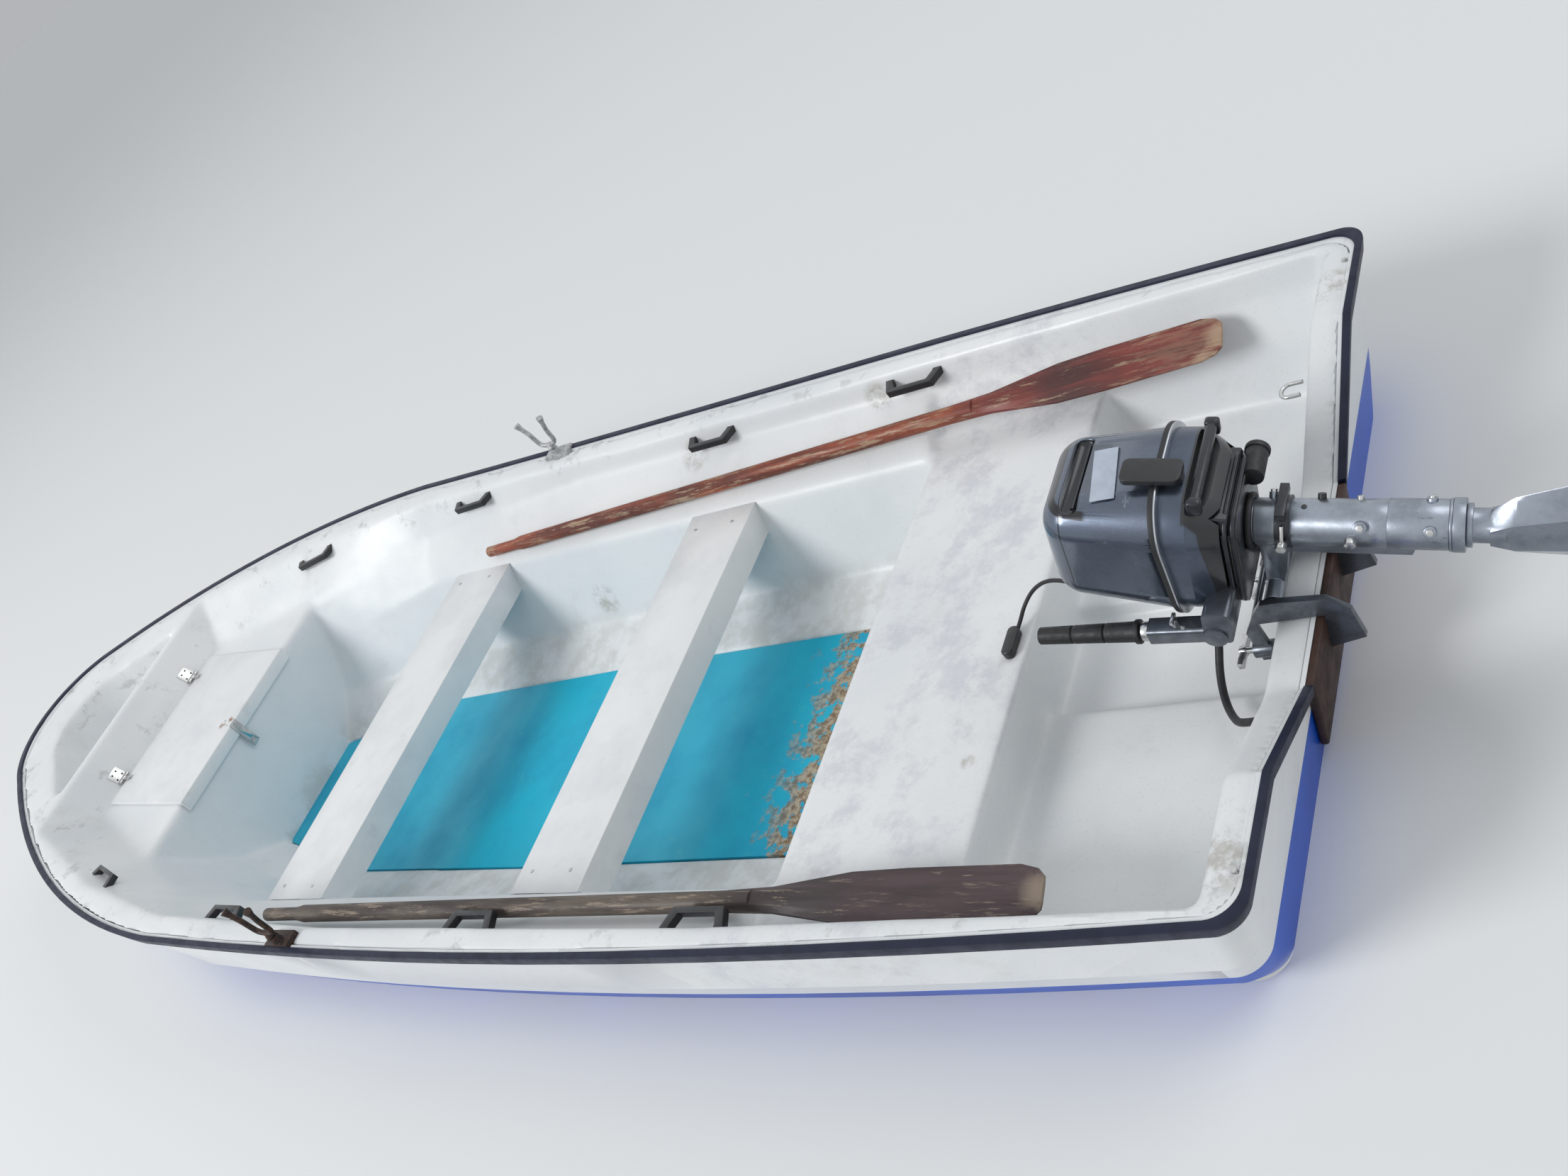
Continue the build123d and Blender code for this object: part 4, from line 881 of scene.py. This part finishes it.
rings = [ringBand(tubeSettings["axis"], *row) for row in ringRows]
gather("tubeSleeve", rings, 0.0008, silverPaint, "outboard_swivel", motorPlace)
gather("tubeLugs", [tubeLug(*row) for row in lugRows], 0.001, silverPaint, "outboard_swivel", motorPlace)
bolts = [tubeLug(*row) for row in boltRows]
bolts.append(barBetween(linkSettings["start"], linkSettings["end"], linkSettings["radius"]))
bolts.append(barBetween(*linkSettings["nut"], linkSettings["nutRadius"], sides=6))
gather("tubeBolts", bolts, 0.0005, stainless, "outboard_swivel", motorPlace)
plugs = [tubeLug(*row) for row in plugRows]
gather("tubePlugs", plugs, 0.0003, blackPlastic, "outboard_swivel", motorPlace)
gather("legBoot", [ringBand(tubeSettings["axis"], *bootRow)], 0.003, gripRubber, "outboard", motorPlace)

# Dark aprons under the pan: rear edge, half width, corner, lower and upper height
apronSettings = {"front": -0.010, "rows": [(-0.211, 0.091, 0.038, 0.036, 0.044),
                                           (-0.218, 0.097, 0.045, 0.0475, 0.0545)]}
aprons = [roundedPlate(rear, apronSettings["front"], half, corner, low, high)
          for rear, half, corner, low, high in apronSettings["rows"]]
gather("panAprons", aprons, 0.002, darkPaint, "outboard", motorPlace, segments=3)

# The outlet under the pan is a pipe across the motor with a collar: where each starts and ends, radius
outletSettings = {"rear": -0.196, "height": 0.026,
                  "rows": [(-0.093, -0.030, 0.0185), (-0.095, -0.085, 0.0205)]}
outletRear, outletHeight = outletSettings["rear"], outletSettings["height"]
outlet = [barBetween((outletRear, start, outletHeight), (outletRear, end, outletHeight), radius)
          for start, end, radius in outletSettings["rows"]]
gather("panOutlet", outlet, 0.0015, gripRubber, "outboard", motorPlace)

stickerSettings = {"size": (0.0010, 0.116, 0.040), "place": (-0.2492, 0.016, 0.244), "lean": 6.5,
                   "slant": -8.0}
stickerTurn = Matrix.Rotation(math.radians(stickerSettings["lean"]), 4, "Y")
stickerTurn = stickerTurn @ Matrix.Rotation(math.radians(stickerSettings["slant"]), 4, "X")
sticker = slab(stickerSettings["size"], stickerSettings["place"], stickerTurn)
gather("cowlSticker", [sticker], 0.0, blankSticker, "outboard", motorPlace)

handleSettings = {"size": (0.030, 0.018, 0.024), "rear": -0.254, "half": 0.088, "height": 0.089}
handleEnds = [slab(handleSettings["size"], (handleSettings["rear"], side * handleSettings["half"],
                                            handleSettings["height"])) for side in (1, -1)]
gather("handleEnds", handleEnds, 0.006, darkPaint, "outboard", motorPlace, segments=3)

# Bright neck and stop screw of the tiller, along the arm's own axis
tillerSettings = {
    "neck": [(0.1125, 0.125, 0.0165, 0.0165), (0.100, 0.1125, 0.0150, 0.0158)],
    "wingScrew": ((-0.012, 0, 0.066), (-0.026, 0, 0.066), 0.0065),
    "wing": ((0.006, 0.024, 0.006), (-0.028, 0, 0.066)),
    "bolt": ((-0.012, 0.010, 0.050), (-0.0205, 0.010, 0.050), 0.0045),
}
neckRings = [barBetween((0, 0, low), (0, 0, high), radius, end)
             for low, high, radius, end in tillerSettings["neck"]]
gather("tillerRing", neckRings, 0.0012, stainless, "outboard", tillerPlace)
tillerBolts = [barBetween(*tillerSettings["wingScrew"], sides=6), slab(*tillerSettings["wing"]),
               barBetween(*tillerSettings["bolt"], sides=6)]
gather("tillerBolts", tillerBolts, 0.0006, stainless, "outboard", tillerPlace)
print("outboard ready")

cordRoutes = {
    "fuelHose": {"node": "fuel_hose", "radius": 0.007, "points": [
        (-1.9515, 0.060, 0.2504), (-1.936, 0.062, 0.200), (-1.920, 0.078, 0.152), (-1.912, 0.118, 0.116),
        (-1.924, 0.168, 0.100), (-1.952, 0.214, 0.108), (-1.984, 0.244, 0.136), (-2.032, 0.256, 0.158)]},
    "starterCord": {"node": "starter_cord", "radius": 0.004, "points": [
        (-1.7735, 0.030, 0.318), (-1.761, 0.028, 0.278), (-1.720, 0.012, 0.262), (-1.665, -0.014, 0.266),
        (-1.610, -0.036, 0.256), (-1.563, -0.044, 0.230), (-1.536, -0.026, 0.208), (-1.528, 0.004, 0.195),
        (-1.522, 0.032, 0.190)]},
}


def cordCurve(label, route):
    curve = bpy.data.curves.new(label, "CURVE")
    curve.dimensions = "3D"
    curve.bevel_depth = route["radius"]
    curve.bevel_resolution = 4
    spline = curve.splines.new("NURBS")
    spline.points.add(len(route["points"]) - 1)
    for point, place in zip(spline.points, route["points"]):
        point.co = (*place, 1)
    spline.order_u = 3
    spline.use_endpoint_u = True
    spline.resolution_u = 8
    curve.use_fill_caps = True
    piece = bpy.data.objects.new(label, curve)
    bpy.context.collection.objects.link(piece)
    curve.materials.append(gripRubber)
    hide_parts(route["node"])
    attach(piece, "boat")
    return piece


hose = cordCurve("fuelHose", cordRoutes["fuelHose"])
starterCord = cordCurve("starterCord", cordRoutes["starterCord"])
grip = dress("starterGrip", ["starter_grip"], 0.004, blackPlastic, segments=3)
print("cords ready")

stageSettings = {"floorSize": 400.0, "hole": 0.006, "floorColour": (0.80, 0.81, 0.81),
                 "floorRoughness": 0.75, "worldColour": (0.94, 0.97, 1.0), "worldLight": 0.5,
                 "farTone": 0.478}
lampSettings = {"keyLight": {"place": (7.2, 10.4, 10.4), "size": 7.0, "energy": 1370},
                "fillLight": {"place": (-10.0, -6.0, 10.0), "size": 10.0, "energy": 440}}


def waterlineOutline():
    # The hull's plan at the waterline, from the hull's own mesh
    points = []
    for name in ("bilge_port", "transom_lower"):
        mesh = nodes[name].data
        for edge in mesh.edges:
            a, b = (mesh.vertices[i].co for i in edge.vertices)
            if (a.z > 0) != (b.z > 0):
                share = a.z / (a.z - b.z)
                points.append(a.lerp(b, share))
    return points


def stageFloor():
    # A flat ring around the outline's convex hull
    ends = sorted({(round(p.x, 4), round(abs(p.y), 4)) for p in waterlineOutline()})
    side = []
    for point in ends:
        while len(side) > 1:
            (ax, ay), (bx, by) = side[-2:]
            if (bx - ax) * (point[1] - ay) - (by - ay) * (point[0] - ax) < 0:
                break
            side.pop()
        side.append(point)
    gap = stageSettings["hole"]
    loop = [(x, y + gap) for x, y in side] + [(x, -y - gap) for x, y in reversed(side)]
    count = len(loop)
    verts = [(x, y, 0) for x, y in loop]
    for x, y in loop:
        reach = stageSettings["floorSize"] / math.hypot(x, y)
        verts.append((x * reach, y * reach, 0))
    faces = [(k, (k + 1) % count, (k + 1) % count + count, k + count) for k in range(count)]
    mesh = bpy.data.meshes.new("studioFloor")
    mesh.from_pydata(verts, [], faces)
    plane = bpy.data.objects.new("studioFloor", mesh)
    bpy.context.collection.objects.link(plane)
    finish = Finish("studioFloorPaint", stageSettings["floorColour"], stageSettings["floorRoughness"])
    plane.data.materials.append(finish.material)
    return plane


studioFloor = stageFloor()


def areaLight(name, place, size, energy):
    # A round soft lamp that faces the middle of the boat
    data = bpy.data.lights.new(name, "AREA")
    data.shape = "DISK"
    data.size = size
    data.energy = energy
    lamp = bpy.data.objects.new(name, data)
    bpy.context.collection.objects.link(lamp)
    lamp.location = place
    lamp.rotation_euler = (-Vector(place)).to_track_quat("-Z", "Y").to_euler()


for name, lamp in lampSettings.items():
    areaLight(name, **lamp)


def studioWorld():
    # Plain light; the camera sees the far floor's tone, metal and glass see white
    world = bpy.data.worlds.new("studioWorld")
    world.use_nodes = True
    tree = world.node_tree
    background = tree.nodes["Background"]
    background.inputs["Color"].default_value = (*stageSettings["worldColour"], 1)
    path = addNode(tree, "ShaderNodeLightPath")
    camera, glossy, through = (Value(tree, path.outputs["Is " + ray + " Ray"])
                               for ray in ("Camera", "Glossy", "Transmission"))
    shine = glossy.high(through)
    light, far = stageSettings["worldLight"], stageSettings["farTone"]
    strength = shine * (1 - light) + camera * (far - light) + light
    tree.links.new(strength.socket, background.inputs["Strength"])
    bpy.context.scene.world = world


studioWorld()

cameraSettings = {
    "place": (-3.005, 1.651, 1.968),
    "right": (-0.751325, -0.324697, -0.574528),
    "up": (-0.147521, -0.765922, 0.625781),
    "back": (-0.643232, 0.554920, 0.527557),
    "focal": 2100.0,
    "width": 2212.0,
    "sensor": 36.0,
    "nearClip": 0.05,
}
cameraData = bpy.data.cameras.new("photoCamera")
cameraData.sensor_fit = "HORIZONTAL"
cameraData.sensor_width = cameraSettings["sensor"]
cameraData.lens = cameraSettings["sensor"] * cameraSettings["focal"] / cameraSettings["width"]
cameraData.clip_start = cameraSettings["nearClip"]
photoCamera = bpy.data.objects.new("photoCamera", cameraData)
bpy.context.collection.objects.link(photoCamera)
turn = Matrix((cameraSettings["right"], cameraSettings["up"], cameraSettings["back"])).transposed().to_4x4()
photoCamera.matrix_world = Matrix.Translation(cameraSettings["place"]) @ turn
bpy.context.scene.camera = photoCamera
bpy.context.scene.view_settings.view_transform = "Standard"

print("camera and studio ready")
